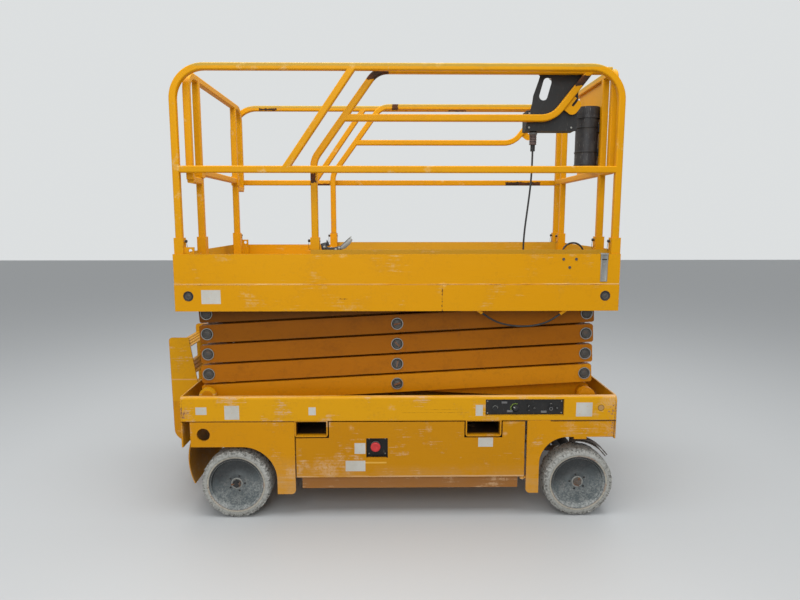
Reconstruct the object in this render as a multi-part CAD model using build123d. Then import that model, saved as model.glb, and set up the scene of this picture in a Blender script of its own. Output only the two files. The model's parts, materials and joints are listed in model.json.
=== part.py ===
from build123d import *
from math import asin, atan2, cos, degrees, hypot, radians, sin, tan
import os

# Self-propelled scissor lift with a sliding platform extension.
# Millimetres. +X is forward (steered wheels), +Y is left, +Z is up, the floor is z = 0.
# "left" is +Y and "right" is -Y. Sides are made by a loop over side = +1 and side = -1.

# ---- overall ----
half_width = 600
fit_gap = 0.3             # seat clearance between bodies that slide or rest on each other
pin_fit = 0.05            # radial running clearance of pins and bearings
plate = 6

# ---- wheels and steering ----
wheel_radius = 190
tyre_width = 130
tyre_section = 52
rear_axle_x = -796
wheelbase = 1860
kingpin_radius = 20
spindle_radius = 24
steer_arm = 130
front_axle_x = rear_axle_x + wheelbase
wheel_centre_y = half_width - tyre_width / 2
kingpin_y = half_width - 180
rim_radius = wheel_radius - tyre_section

# ---- chassis ----
chassis_rear_x = -1069
chassis_front_x = 1246
end_plate = 8
beam_bottom_z = 546
beam_height = 134
beam_width = 80
beam_wall = 25
beam_corner = 14
track_floor_z = 624
fender_plate = 10
core_half_width = half_width - 290
core_bottom_z = 235
rail_bottom_z = 452
rail_inner_y = core_half_width - 80
deck_sheet = 5
pocket_wall = 8
pocket_height = 89
rear_leg_x = (-572, -473)
front_leg_x = (776, 846)
beam_top_z = beam_bottom_z + beam_height
beam_inner_y = half_width - beam_width
pocket_bottom_z = beam_bottom_z - pocket_height
pockets = (                # rear and front fork pocket: x from, x to
    ("rear", -473, -295),
    ("front", 444, 637),
)

# ---- scissor stack ----
levels = 5
arm_length = 2052          # pin to pin
arm_depth = 98
arm_thickness = 40
arm_overhang = 40
arm_corner = 12
level_rise = 110.7         # pin to pin, stowed
lift_range = 61.5          # degrees an outer arm turns to full height
base_pin_x = -946.5
base_pin_z = 669
outer_arm_y = half_width - 140       # inner face of the outer arms
arm_plane_gap = 10
pin_radius = 20
pin_head_radius = 30
pin_head = 5
base_shaft_radius = 30
cross_tube_radius = 32
roller_radius = 45 - fit_gap
roller_width = 40
stowed_angle = asin(level_rise / arm_length)
inner_arm_y = outer_arm_y - arm_plane_gap - arm_thickness
base_foot_x = base_pin_x + arm_length * cos(stowed_angle)
centre_pin_x = (base_pin_x + base_foot_x) / 2

# ---- lift cylinder ----
barrel_at = 1500           # along inner arm 1 from its foot
rod_at = 650               # along inner arm 2 from its lower pin
barrel_radius = 45
rod_radius = 28
eye_radius = 46
eye_width = 70
eye_clearance = 0.6

# ---- platform ----
platform_rear_x = -1075
platform_length = 2310
deck_top_z = 1280
deck_plate = 3
skirt_bottom_z = 1140
skirt_flange = 35
toe_top_z = 1437
toe_plate = 6
toe_inset = 3
rail_size = 35
rail_corner = 7
top_rail_z = 2367.5
mid_rail_z = 1866.5
rail_bend = 160
socket_size = 47
socket_top_z = 1520
inner_post_y = half_width - 230
post_y = half_width - 33
platform_front_x = platform_rear_x + platform_length
deck_bottom_z = deck_top_z - deck_plate
top_pin_z = base_pin_z + levels * level_rise

# ---- extension ----
extension_rear_x = -375
slider_height = 6
extension_plate = 4
extension_half_width = half_width - 62
extension_toe_top_z = 1456
extension_rail_y = half_width - 100
extension_top_z = top_rail_z
extension_mid_z = extension_top_z - 235.5
extension_front_x = platform_front_x - 10
extension_top_deck_z = deck_top_z + slider_height + extension_plate

# ---- ladder ----
ladder_rear_x = -1254
ladder_half_width = 241
ladder_plate = 6
ladder_bottom_z = 305
ladder_top_z = 930

# ---- trays ----
tray_rear_x = -467
tray_front_x = 764
tray_bottom_z = 230
tray_top_z = 540
tray_inner_y = core_half_width + 26
tray_box_rear_x = -435
tray_hinge_x = 757
tray_hinge_y = half_width - 12
hinge_pin_radius = 8
hinge_seat_z = tray_bottom_z - 2
notch_gap = 6

# ---- operator's console ----
console_y = (-extension_rail_y + rail_size / 2, -extension_rail_y + rail_size / 2 + 5, -extension_rail_y + 125)
console_x = (extension_front_x - 478, extension_front_x - 209)
console_z = (extension_top_z - 296.5, extension_top_z - 192.5, extension_top_z - 67.5)
gland_length = 99

# ---- cords ----
control_cord_diameter = 10
cord_hang = console_z[0] - gland_length - extension_top_deck_z
cord_hang_drawn = 682
control_cord_points = [
    (extension_front_x - back, inward - extension_rail_y, extension_top_deck_z + up * cord_hang / cord_hang_drawn)
    for back, inward, up in (
        (428, 60, 682), (428, 60, 615), (433, 57, 510), (447, 50, 390), (462, 45, 270), (468, 44, 162),
        (457, 48, 82), (417, 54, 28), (357, 56, 8), (307, 52, 12), (270, 44, 50), (258, 36, 108),
        (258, 32, 165), (225, 32, 199), (177, 32, 199), (144, 32, 165), (144, 32, 141),
    )]
harness_cord_diameter = 10
harness_cord_points = [
    (platform_front_x - back, inward - half_width, skirt_bottom_z - down)
    for back, inward, down in (
        (711, 22, 14), (663, 26, 49), (603, 30, 74), (535, 32, 86), (467, 32, 88),
        (399, 29, 77), (341, 25, 53), (299, 22, 20),
    )]


def block(x0, x1, y0, y1, z0, z1):
    """Box between two corners."""
    centre = Pos((x0 + x1) / 2, (y0 + y1) / 2, (z0 + z1) / 2)
    return centre * Box(abs(x1 - x0), abs(y1 - y0), abs(z1 - z0))


def side_block(side, x0, x1, y0, y1, z0, z1):
    """Box whose y range is measured outwards from the centre plane on one side."""
    return block(x0, x1, min(side * y0, side * y1), max(side * y0, side * y1), z0, z1)


def round_y(x, z, radius, y0, y1):
    """Cylinder along Y between y0 and y1."""
    return Pos(x, (y0 + y1) / 2, z) * Rot(90, 0, 0) * Cylinder(radius, abs(y1 - y0))


def round_z(x, y, radius, z0, z1):
    """Cylinder along Z between z0 and z1."""
    return Pos(x, y, (z0 + z1) / 2) * Cylinder(radius, abs(z1 - z0))


def round_x(y, z, radius, x0, x1):
    """Cylinder along X between x0 and x1."""
    return Pos((x0 + x1) / 2, y, z) * Rot(0, 90, 0) * Cylinder(radius, abs(x1 - x0))


def side_sheet(side, outline, y0, y1):
    """Outline drawn in X and Z, given its thickness between two distances from the centre plane."""
    low = min(side * y0, side * y1)
    face = make_face(outline)
    solid = extrude(face, amount=abs(y1 - y0), dir=(0, 1, 0))
    return Pos(0, low, 0) * solid


def xz(points):
    """Closed outline of straight edges in the XZ plane."""
    return Polyline(*[(x, 0, z) for x, z in points], close=True)


def rail(points, bend=None, size=rail_size, across=(0, 1, 0)):
    """Square tube with rounded edges along straight runs joined by bends."""
    if bend is None:
        path = Line(points[0], points[-1])
    else:
        path = FilletPolyline(*points, radius=bend)
    section = Plane(origin=path @ 0, x_dir=across, z_dir=path % 0) * RectangleRounded(size, size, rail_corner)
    return sweep(section, path=path)


def socket(x, y, top=socket_top_z, base=deck_top_z):
    """Square sleeve that a rail post stands in."""
    half = socket_size / 2
    return block(x - half, x + half, y - half, y + half, base, top)


def weld(*pieces):
    """Tubes and plates joined into one frame."""
    solids = [solid for piece in pieces for solid in piece.solids()]
    return solids[0].fuse(*solids[1:])


def both(make):
    """The same piece on both sides, as two solids."""
    return Compound(children=[solid for side in (1, -1) for solid in make(side).solids()])


# ---- chassis pieces ----
def side_beam(side):
    """Side member: an outer wall over a roller track that is open towards the middle."""
    outline = Polyline(
        (0, beam_inner_y, beam_bottom_z), (0, half_width, beam_bottom_z), (0, half_width, beam_top_z),
        (0, half_width - beam_wall, beam_top_z), (0, half_width - beam_wall, track_floor_z),
        (0, beam_inner_y, track_floor_z), close=True)
    beam = extrude(make_face(outline), amount=chassis_front_x - chassis_rear_x, dir=(1, 0, 0))
    beam = Pos(chassis_rear_x, 0, 0) * beam
    top_edges = beam.edges().filter_by(Axis.X).group_by(Axis.Z)[-1].sort_by(Axis.Y)
    beam = fillet(top_edges[-1:], beam_corner)
    beam = beam if side > 0 else mirror(beam, about=Plane.XZ)
    bracket = side_block(side, base_pin_x - 45, base_pin_x + 45, beam_inner_y, beam_inner_y + 25,
                         track_floor_z, base_pin_z)
    bracket += round_y(base_pin_x, base_pin_z, 45, side * beam_inner_y, side * (beam_inner_y + 25))
    bracket -= round_y(base_pin_x, base_pin_z, base_shaft_radius + pin_fit,
                       side * (beam_inner_y - 1), side * (beam_inner_y + 26))
    beam += bracket
    if side < 0:
        beam -= side_block(side, panel_x[0], panel_x[1], half_width - panel_depth, half_width + 1,
                           panel_z[0], panel_z[1])
    return beam


panel_x = (550, 970)
panel_z = (574, 662)
panel_depth = 16


def ground_controls():
    """Black control panel in the right beam, with its key switch, dial, selector and buttons."""
    inset = 1
    back = half_width - panel_depth
    panel = side_block(-1, panel_x[0] + inset, panel_x[1] - inset, back, back + 4,
                       panel_z[0] + inset, panel_z[1] - inset)
    controls = (           # distance along the panel, height on it, radius, how far it stands out
        (52, 36, 13, 11), (160, 36, 17, 9), (232, 48, 7, 8), (232, 24, 7, 8), (262, 36, 7, 8),
        (350, 36, 11, 10), (384, 36, 7, 8),
    )
    for along, height, radius, proud in controls:
        panel += round_y(panel_x[0] + along, panel_z[0] + height, radius, -(back + 3), -(back + 4 + proud))
    return panel


def fenders(side):
    """Skirt plates with the wheel arches, behind and in front of the swing-out tray."""
    inner = half_width - fender_plate
    rear_arch = 185
    rear_edge_z = 403
    front_arch = 150
    leg_bottom = 135
    foot = 24
    rear = xz([(chassis_rear_x + 39, beam_bottom_z), (rear_leg_x[1], beam_bottom_z),
               (rear_leg_x[1], leg_bottom), (rear_leg_x[0], leg_bottom),
               (rear_leg_x[0], rear_edge_z), (chassis_rear_x + 39, rear_edge_z)])
    front = xz([(front_leg_x[0], beam_bottom_z), (chassis_front_x - 2, beam_bottom_z),
                (chassis_front_x - 2, rail_bottom_z), (front_leg_x[1], rail_bottom_z),
                (front_leg_x[1], leg_bottom), (front_leg_x[0], leg_bottom)])
    rear_plate = side_sheet(side, rear, inner, half_width)
    front_plate = side_sheet(side, front, inner, half_width)
    rear_plate = fillet(upright_edge(rear_plate, rear_leg_x[0], rear_edge_z), rear_arch)
    rear_plate = fillet(upright_edge(rear_plate, rear_leg_x[1], leg_bottom), foot)
    front_plate = fillet(upright_edge(front_plate, front_leg_x[1], rail_bottom_z), front_arch)
    front_plate = fillet(upright_edge(front_plate, front_leg_x[0], leg_bottom), foot)
    tab = side_block(side, front_axle_x - 34, front_axle_x + 34, inner, half_width, rail_bottom_z - 12,
                     rail_bottom_z + 20)
    front_plate += tab
    rear_plate -= round_y(chassis_rear_x + 109, 472, 35, side * (inner - 1), side * (half_width + 1))
    hinge_bracket = side_block(side, tray_hinge_x - 12, front_leg_x[0] + 20, tray_hinge_y - 12, inner,
                               hinge_seat_z - 14, hinge_seat_z)
    hinge_bracket += round_z(tray_hinge_x, side * tray_hinge_y, 12, hinge_seat_z - 14, hinge_seat_z)
    hinge_bracket += round_z(tray_hinge_x, side * tray_hinge_y, hinge_pin_radius, hinge_seat_z - 9,
                             hinge_seat_z + 48)
    front_plate += hinge_bracket
    return Compound(children=[rear_plate.solid(), front_plate.solid()])


def upright_edge(shape, x, z):
    """The edge of a side plate that runs across it at one corner of its outline."""
    return [e for e in shape.edges().filter_by(Axis.Y)
            if abs(e.center().X - x) < 0.01 and abs(e.center().Z - z) < 0.01]


def chassis_core():
    """Welded middle frame: centre box, rails to both ends and the top sheet between the beams."""
    core = block(rear_leg_x[0], front_leg_x[0], -core_half_width, core_half_width, core_bottom_z, beam_bottom_z)
    for side in (1, -1):
        core += side_block(side, chassis_rear_x, rear_leg_x[0], rail_inner_y, core_half_width,
                           rail_bottom_z, beam_bottom_z)
        core += side_block(side, front_leg_x[0], chassis_front_x, rail_inner_y, core_half_width,
                           rail_bottom_z, beam_bottom_z)
        for x in guard_post_x:
            core -= side_block(side, x - guard_post / 2 - fit_gap, x + guard_post / 2 + fit_gap,
                               core_half_width - guard_post_depth - fit_gap, core_half_width + 1,
                               core_bottom_z - 1, rail_bottom_z - 5)
    core += block(chassis_rear_x, chassis_front_x, -beam_inner_y, beam_inner_y,
                  beam_bottom_z, beam_bottom_z + deck_sheet)
    for name, x0, x1 in pockets:
        core -= block(x0, x1, -core_half_width - 1, core_half_width + 1, pocket_bottom_z, beam_bottom_z)
    return core


guard_post_x = (-350, 590)
guard_post = 40
guard_post_depth = 16
guard_drop = 120
guard_bottom_z = 160


def end_plates():
    """Full-width plates that close the chassis, and the bowed flap behind the rear wheels."""
    front = block(chassis_front_x, chassis_front_x + end_plate, -half_width, half_width,
                  rail_bottom_z - 8, beam_top_z)
    front = fillet(front.edges().filter_by(Axis.X).group_by(Axis.Z)[-1], 30)
    rear = block(chassis_rear_x - end_plate, chassis_rear_x, -half_width, half_width, 403, beam_top_z)
    rear = fillet(rear.edges().filter_by(Axis.X).group_by(Axis.Z)[-1], 30)
    flap_half = half_width - 130
    outer = ThreePointArc((chassis_rear_x, 0, 403), (chassis_rear_x - 22, 0, 262), (chassis_rear_x + 6, 0, 140))
    inner = ThreePointArc((chassis_rear_x + 12, 0, 140), (chassis_rear_x - 16, 0, 262), (chassis_rear_x + 6, 0, 403))
    outline = outer + Line(outer @ 1, inner @ 0) + inner + Line(inner @ 1, outer @ 0)
    flap = Pos(0, -flap_half, 0) * extrude(make_face(outline), amount=2 * flap_half, dir=(0, 1, 0))
    shelf = block(chassis_rear_x - end_plate, chassis_rear_x + 6, -flap_half, flap_half, 403, 411)
    rear += shelf + flap
    return Compound(children=[front.solid(), rear.solid()])


def fork_pockets():
    """Two rectangular tubes right through the chassis for the forks of a truck."""
    tubes = []
    for name, x0, x1 in pockets:
        tube = block(x0, x1, -half_width, half_width, pocket_bottom_z, beam_bottom_z)
        tube = fillet(tube.edges().filter_by(Axis.Y).group_by(Axis.Z)[0], 14)
        hole = block(x0 + pocket_wall, x1 - pocket_wall, -half_width - 1, half_width + 1,
                     pocket_bottom_z + pocket_wall, beam_bottom_z - pocket_wall / 2)
        tubes.append((tube - hole).solid())
    return Compound(children=tubes)


def ladder():
    """Two side plates and their steps, hung on the rear end plate."""
    end_x = chassis_rear_x - end_plate
    outline = [(ladder_rear_x, ladder_top_z), (end_x - 62, ladder_top_z), (end_x - 20, 665),
               (end_x, 560), (end_x, 415), (end_x - 26, 395), (end_x - 26, ladder_bottom_z),
               (ladder_rear_x + 8, ladder_bottom_z)]
    steps = ((402, 0), (560, 0), (718, 8), (876, 30))       # height, setback at the back edge
    frame = None
    for side in (1, -1):
        cheek = side_sheet(side, xz(outline), ladder_half_width - ladder_plate, ladder_half_width)
        cheek = fillet(upright_edge(cheek, ladder_rear_x + 8, ladder_bottom_z), 70)
        cheek = fillet(upright_edge(cheek, ladder_rear_x, ladder_top_z), 20)
        frame = cheek if frame is None else frame + cheek
    inner = ladder_half_width - ladder_plate
    for height, setback in steps:
        tread = block(ladder_rear_x + 12, end_x - 22 - setback, -inner, inner, height, height + 4)
        lip = block(ladder_rear_x + 12, ladder_rear_x + 16, -inner, inner, height - 26, height)
        frame += tread + lip
    return frame


def rear_axle():
    """Fixed rear axle with its drive motors and the wheel spindles."""
    z = wheel_radius
    motor_y = (half_width - 275, half_width - 148)
    axle = block(rear_axle_x - 40, rear_axle_x + 40, -motor_y[0] - 5, motor_y[0] + 5, z - 40, z + 40)
    for side in (1, -1):
        axle += round_y(rear_axle_x, z, 62, side * motor_y[0], side * motor_y[1])
        axle += round_y(rear_axle_x, z, spindle_radius, side * motor_y[1], side * (half_width - 24))
        axle += spindle_nut(rear_axle_x, side)
        axle += side_block(side, rear_axle_x - 50, rear_axle_x + 50, rail_inner_y + 15, rail_inner_y + 35,
                           z + 20, rail_bottom_z)
    return axle


front_beam_z = (240, 310)


def front_axle():
    """Front axle beam with a kingpin boss at each end, hung from the chassis rails."""
    low, high = front_beam_z
    axle = block(front_axle_x - 32, front_axle_x + 32, -kingpin_y, kingpin_y, low, high)
    for side in (1, -1):
        axle += round_z(front_axle_x, side * kingpin_y, 34, low, high)
        axle += side_block(side, front_axle_x - 45, front_axle_x + 45, 150, 170, low + 10, rail_bottom_z)
        axle += side_block(side, front_axle_x - 45, front_axle_x + 45, 150, core_half_width,
                           rail_bottom_z - 8, rail_bottom_z)
    for side in (1, -1):
        axle -= round_z(front_axle_x, side * kingpin_y, kingpin_radius + pin_fit, low - 1, high + 1)
    return axle


def knuckle(side):
    """Yoke round the axle boss with its kingpin, wheel spindle and steering arm."""
    low, high = front_beam_z
    gap = fit_gap
    web_in = kingpin_y + 40
    web_out = kingpin_y + 48
    yoke = side_block(side, front_axle_x - 34, front_axle_x + 34, kingpin_y, web_out, high + gap, high + 18)
    yoke += round_z(front_axle_x, side * kingpin_y, 34, high + gap, high + 18)
    yoke += side_block(side, front_axle_x - 34, front_axle_x + 34, kingpin_y, web_out, low - 18, low - gap)
    yoke += round_z(front_axle_x, side * kingpin_y, 34, low - 18, low - gap)
    yoke += side_block(side, front_axle_x - 34, front_axle_x + 34, web_in, web_out,
                       wheel_radius - 40, high + 18)
    yoke += round_z(front_axle_x, side * kingpin_y, kingpin_radius, low - 10, high + 10)
    yoke += round_y(front_axle_x, wheel_radius, spindle_radius, side * web_in, side * (half_width - 24))
    yoke += side_block(side, front_axle_x - steer_arm, front_axle_x, kingpin_y - 20, kingpin_y + 20,
                       high + gap, high + 18)
    yoke += round_z(front_axle_x - steer_arm, side * kingpin_y, 20, high + gap, high + 18)
    yoke += round_z(front_axle_x - steer_arm, side * kingpin_y, 10, high + 18, high + 40)
    stem = side_block(side, front_axle_x - 18, front_axle_x + 18, web_in, web_out, high + 17,
                      wheel_radius + guard_strips[-1] + 2)
    return yoke + stem + tyre_guard(side, web_in) + spindle_nut(front_axle_x, side)


guard_strips = (206, 218)      # inner radii of the two strips over a front tyre
guard_sheet = 5
guard_reach = (35, 95)         # degrees round the wheel, from straight ahead


def tyre_guard(side, inner_y):
    """Two bent strips that keep stones off the steering gear above a front tyre."""
    far = 2 * guard_strips[-1]
    corners = [(front_axle_x + far * cos(radians(a)), wheel_radius + far * sin(radians(a))) for a in guard_reach]
    wedge = side_sheet(side, xz([(front_axle_x, wheel_radius)] + corners), inner_y, inner_y + 60)
    strips = None
    for radius in guard_strips:
        y0, y1 = side * inner_y, side * (inner_y + 60)
        strip = round_y(front_axle_x, wheel_radius, radius + guard_sheet, y0, y1)
        strip -= round_y(front_axle_x, wheel_radius, radius, y0, y1)
        strip = strip & wedge
        strips = strip if strips is None else strips + strip
    return strips


def spindle_nut(x, side):
    """Nut and thread end that hold a wheel on its spindle."""
    end = half_width - 24
    seat = Plane(origin=(x, side * end, wheel_radius), z_dir=(0, side, 0))
    nut = seat * extrude(RegularPolygon(spindle_radius - 1, 6), amount=13)
    return nut + round_y(x, wheel_radius, 11, side * (end - 1), side * (end + 19))


def tie_rod():
    """Rod that keeps both knuckles parallel, on a pin at each steering arm."""
    x = front_axle_x - steer_arm
    z0 = front_beam_z[1] + 18 + fit_gap
    z1 = z0 + 20
    rod = round_y(x, (z0 + z1) / 2, 10, -kingpin_y, kingpin_y)
    for side in (1, -1):
        rod += round_z(x, side * kingpin_y, 18, z0, z1)
        rod -= round_z(x, side * kingpin_y, 10 + pin_fit, z0 - 1, z1 + 30)
    return rod


def tyre(x, side):
    """Solid tyre with rounded shoulders."""
    half = tyre_width / 2
    ring = Polyline((rim_radius, 0, -half), (wheel_radius, 0, -half), (wheel_radius, 0, half),
                    (rim_radius, 0, half), close=True)
    face = make_face(ring)
    face = fillet(face.vertices().group_by(Axis.X)[-1], 12)
    solid = revolve(face, Axis.Z)
    return Pos(x, side * wheel_centre_y, wheel_radius) * Rot(90, 0, 0) * solid


def rim(x, side):
    """Dished steel wheel: barrel, cone and hub disc with stud holes."""
    half = tyre_width / 2
    r = rim_radius
    hub_out = half - 24
    outline = Polyline(
        (r, 0, -half + 4), (r, 0, half - 2), (r - 8, 0, half - 2), (r - 12, 0, half - 14),
        (r - 20, 0, half - 42), (68, 0, half - 50), (62, 0, hub_out - 4), (58, 0, hub_out),
        (spindle_radius + pin_fit, 0, hub_out), (spindle_radius + pin_fit, 0, half - 70),
        (54, 0, half - 70), (60, 0, half - 62), (r - 30, 0, half - 56), (r - 12, 0, -half + 4), close=True)
    disc = revolve(make_face(outline), Axis.Z)
    for stud in PolarLocations(43, 5):
        disc -= stud * Pos(0, 0, hub_out) * Cylinder(6, 30)
    turned = disc if side < 0 else mirror(disc, about=Plane.XY)
    return Pos(x, side * wheel_centre_y, wheel_radius) * Rot(90, 0, 0) * turned


# ---- trays ----
def tray(side):
    """Swing-out tray: outer panel cut round the fork pockets, floor, end walls and hinge lug."""
    top = tray_top_z
    notch_z = pocket_bottom_z - notch_gap
    rear_notch = pockets[0][2] + notch_gap
    front_notch = (pockets[1][1] - notch_gap, pockets[1][2] + notch_gap)
    outline = xz([(tray_rear_x, tray_bottom_z), (tray_front_x, tray_bottom_z), (tray_front_x, top),
                  (front_notch[1], top), (front_notch[1], notch_z), (front_notch[0], notch_z),
                  (front_notch[0], top), (rear_notch, top), (rear_notch, notch_z), (tray_rear_x, notch_z)])
    body = side_sheet(side, outline, half_width - plate, half_width)
    body += side_block(side, tray_box_rear_x, tray_front_x - 24, tray_inner_y, half_width - plate,
                       tray_bottom_z, tray_bottom_z + plate)
    for x in (tray_box_rear_x, tray_front_x - 24 - plate):
        body += side_block(side, x, x + plate, tray_inner_y, half_width - plate, tray_bottom_z, notch_z)
    lug = round_z(tray_hinge_x, side * tray_hinge_y, 12, hinge_seat_z + fit_gap, 330)
    body += lug
    body += side_block(side, tray_front_x - 24 - plate, tray_hinge_x, tray_hinge_y - 10, tray_hinge_y + 8,
                       tray_bottom_z, 330)
    body -= round_z(tray_hinge_x, side * tray_hinge_y, hinge_pin_radius + pin_fit, hinge_seat_z - 1,
                    hinge_seat_z + 50)
    if side < 0:
        body -= side_block(side, stop_x[0], stop_x[1], half_width - plate - 1, half_width + 1,
                           stop_z[0], stop_z[1])
        body += side_block(side, stop_x[0] - 4, stop_x[1] + 4, half_width - plate, half_width,
                           stop_z[0] - 30, stop_z[0] - 22)
    return body


stop_x = (-90, 26)
stop_z = (338, 449)
stop_depth = 30


def emergency_stop():
    """Black recess box behind the right tray panel with its red mushroom button."""
    wall = 3
    face = half_width - plate
    shell = side_block(-1, stop_x[0] - wall, stop_x[1] + wall, face - stop_depth, face,
                       stop_z[0] - wall, stop_z[1] + wall)
    shell -= side_block(-1, stop_x[0], stop_x[1], face - stop_depth + wall, face + 1, stop_z[0], stop_z[1])
    x = (stop_x[0] + stop_x[1]) / 2 - 8
    z = (stop_z[0] + stop_z[1]) / 2 + 4
    shell += round_y(x, z, 14, -(face - stop_depth + wall - 1), -(face - 10))
    button = round_y(x, z, 23, -(face - 12), -(face + 2))
    return shell + button


def tray_load(side):
    """Batteries on one side, the hydraulic power unit on the other, as plain blocks."""
    return side_block(side, tray_box_rear_x + 20, tray_front_x - 60, tray_inner_y + 8, half_width - 42,
                      tray_bottom_z + plate, pocket_bottom_z - 15)


def pothole_guard(side):
    """Bar under the tray on two arms and posts that slide down in the core's slots."""
    z0 = guard_bottom_z
    y0, y1 = half_width - 44, half_width - 20
    bar = side_block(side, -440, 735, y0, y1, z0, z0 + 62)
    for x in guard_post_x:
        half = guard_post / 2
        bar += side_block(side, x - half, x + half, core_half_width - guard_post_depth, y0, z0 + 8, z0 + 24)
        bar += side_block(side, x - half, x + half, core_half_width - guard_post_depth, core_half_width,
                          z0 + 8, rail_bottom_z - 12)
    return bar


# ---- scissor pieces ----
def level_frame(k, kind):
    """Placement of an arm of level k: x along the arm from its lower pin, z across it."""
    low = base_pin_z + (k - 1) * level_rise
    if kind == "outer":
        return Location((base_pin_x, 0, low), (0, -degrees(stowed_angle), 0))
    return Location((base_foot_x, 0, low), (0, 180 + degrees(stowed_angle), 0))


def arm_bar(corner_low, corner_high):
    """Flat bar between two pins, drawn along X at y from 0 to its thickness."""
    half = arm_depth / 2
    a = -arm_overhang if corner_low < half else -half
    b = arm_length + (arm_overhang if corner_high < half else half)
    bar = block(a, b, 0, arm_thickness, -half, half)
    edges = bar.edges().filter_by(Axis.Y).group_by(Axis.X)
    bar = fillet(edges[-1], min(corner_high, half - 0.5))
    edges = bar.edges().filter_by(Axis.Y).group_by(Axis.X)
    return fillet(edges[0], min(corner_low, half - 0.5))


def outer_arms(k):
    """Outer pair of a level, each bar with its pins, which run in the inner arms' bores."""
    high_corner = 36 if k == levels else arm_corner
    placed = level_frame(k, "outer")
    bars = []
    for side in (1, -1):
        y0 = outer_arm_y
        y1 = outer_arm_y + arm_thickness
        bar = arm_bar(arm_corner, high_corner)
        bar = Pos(0, y0 if side > 0 else -y1, 0) * bar
        pin_inner = inner_arm_y + 3
        for at in (0, arm_length / 2, arm_length):
            is_base = k == 1 and at == 0
            is_top = k == levels and at == arm_length
            if is_base:
                bar += round_y(at, 0, base_shaft_radius, side * y1, side * (beam_inner_y + 27))
            elif is_top:
                bar += round_y(at, 0, base_shaft_radius, side * y1, side * (track_y[0] + 2))
                bar += round_y(at, 0, roller_radius, side * track_y[0], side * (track_y[0] + roller_width))
            else:
                bar += round_y(at, 0, pin_radius, side * pin_inner, side * y0)
                bar += round_y(at, 0, pin_head_radius, side * y1, side * (y1 + pin_head))
        if k in (3, 4):
            bar += side_block(side, arm_length / 2 + 12, arm_length / 2 + 335, y1, y1 + 3,
                              -arm_depth / 2 + 4, arm_depth / 2 - 4)
        bars.append((placed * bar).solid())
    return Compound(children=bars)


track_y = (half_width - 85, half_width - 40)


def inner_arms(k):
    """Inner pair of a level, bored for the outer arms' pins; the lowest pair has the feet."""
    placed = level_frame(k, "inner")
    bars = []
    for side in (1, -1):
        y0 = inner_arm_y
        y1 = inner_arm_y + arm_thickness
        bar = arm_bar(arm_depth / 2, arm_depth / 2)
        bar = Pos(0, y0 if side > 0 else -y1, 0) * bar
        for at in (0, arm_length / 2, arm_length):
            if k == 1 and at == 0:
                foot_y = beam_inner_y + 3
                bar += round_y(at, 0, base_shaft_radius, side * y1, side * (foot_y + 2))
                bar += round_y(at, 0, roller_radius, side * foot_y, side * (foot_y + roller_width))
            else:
                bar -= round_y(at, 0, pin_radius + pin_fit, side * (y0 + 2), side * (y1 + 1))
        bars.append((placed * bar).solid())
    return Compound(children=bars)


def cross_tubes(k):
    """Tubes between the inner arms of a level; levels 1 and 2 leave the middle to the cylinder."""
    places = {1: (0, barrel_at, arm_length), 2: (0, rod_at, arm_length)}
    placed = level_frame(k, "inner")
    tubes = [placed * round_y(at, 0, cross_tube_radius, -inner_arm_y, inner_arm_y)
             for at in places.get(k, (0, arm_length / 2, arm_length))]
    return Compound(children=[tube.solid() for tube in tubes])


def base_shaft():
    """Shaft between the lowest outer arms at the fixed pivot."""
    return round_y(base_pin_x, base_pin_z, base_shaft_radius, -outer_arm_y, outer_arm_y)


def anchor(k, at):
    """Centre of a cross tube of level k, stowed, in the model's frame."""
    x = base_foot_x - at * cos(stowed_angle)
    z = base_pin_z + (k - 1) * level_rise + at * sin(stowed_angle)
    return Vector(x, 0, z)


barrel_pin = anchor(1, barrel_at)
rod_pin = anchor(2, rod_at)
cylinder_length = (rod_pin - barrel_pin).length
cylinder_tilt = degrees(asin((rod_pin.Z - barrel_pin.Z) / cylinder_length))
cylinder_frame = Location((barrel_pin.X, 0, barrel_pin.Z), (0, -cylinder_tilt, 0))
barrel_length = cylinder_length - 120


def cylinder_barrel():
    """Barrel of the lift cylinder, its eye round the cross tube of level 1."""
    barrel = round_x(0, 0, barrel_radius, 30, barrel_length)
    barrel += round_x(0, 0, barrel_radius + 7, barrel_length - 40, barrel_length)
    barrel += round_y(0, 0, eye_radius, -eye_width / 2, eye_width / 2)
    barrel += Pos(120, 0, barrel_radius + 8) * Box(46, 34, 26)
    barrel -= round_y(0, 0, cross_tube_radius + pin_fit, -eye_width, eye_width)
    barrel -= round_x(0, 0, rod_radius + pin_fit, 90, barrel_length + 1)
    return cylinder_frame * barrel


def cylinder_reach(lift):
    """Angle and length from pin to pin of the lift cylinder at a lift angle, both in the chassis."""
    angle = stowed_angle + radians(lift)
    along = (barrel_at - rod_at) * cos(angle)
    up = arm_length * sin(angle) - (barrel_at - rod_at) * sin(angle)
    return atan2(up, along), hypot(along, up), (along, up)


def eye_path():
    """Way of the cross tube seen from the rod's eye, whose joints turn and slide evenly with the lift."""
    turn_0, reach_0, _ = cylinder_reach(0)
    turn_1, reach_1, _ = cylinder_reach(lift_range)
    steps = 28
    places = []
    for i in range(steps + 1):
        share = i / steps
        _, _, (along, up) = cylinder_reach(lift_range * share)
        turn = turn_0 + (turn_1 - turn_0) * share
        reach = reach_0 + (reach_1 - reach_0) * share
        places.append((along * cos(turn) + up * sin(turn) - reach, up * cos(turn) - along * sin(turn)))
    return places


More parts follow.
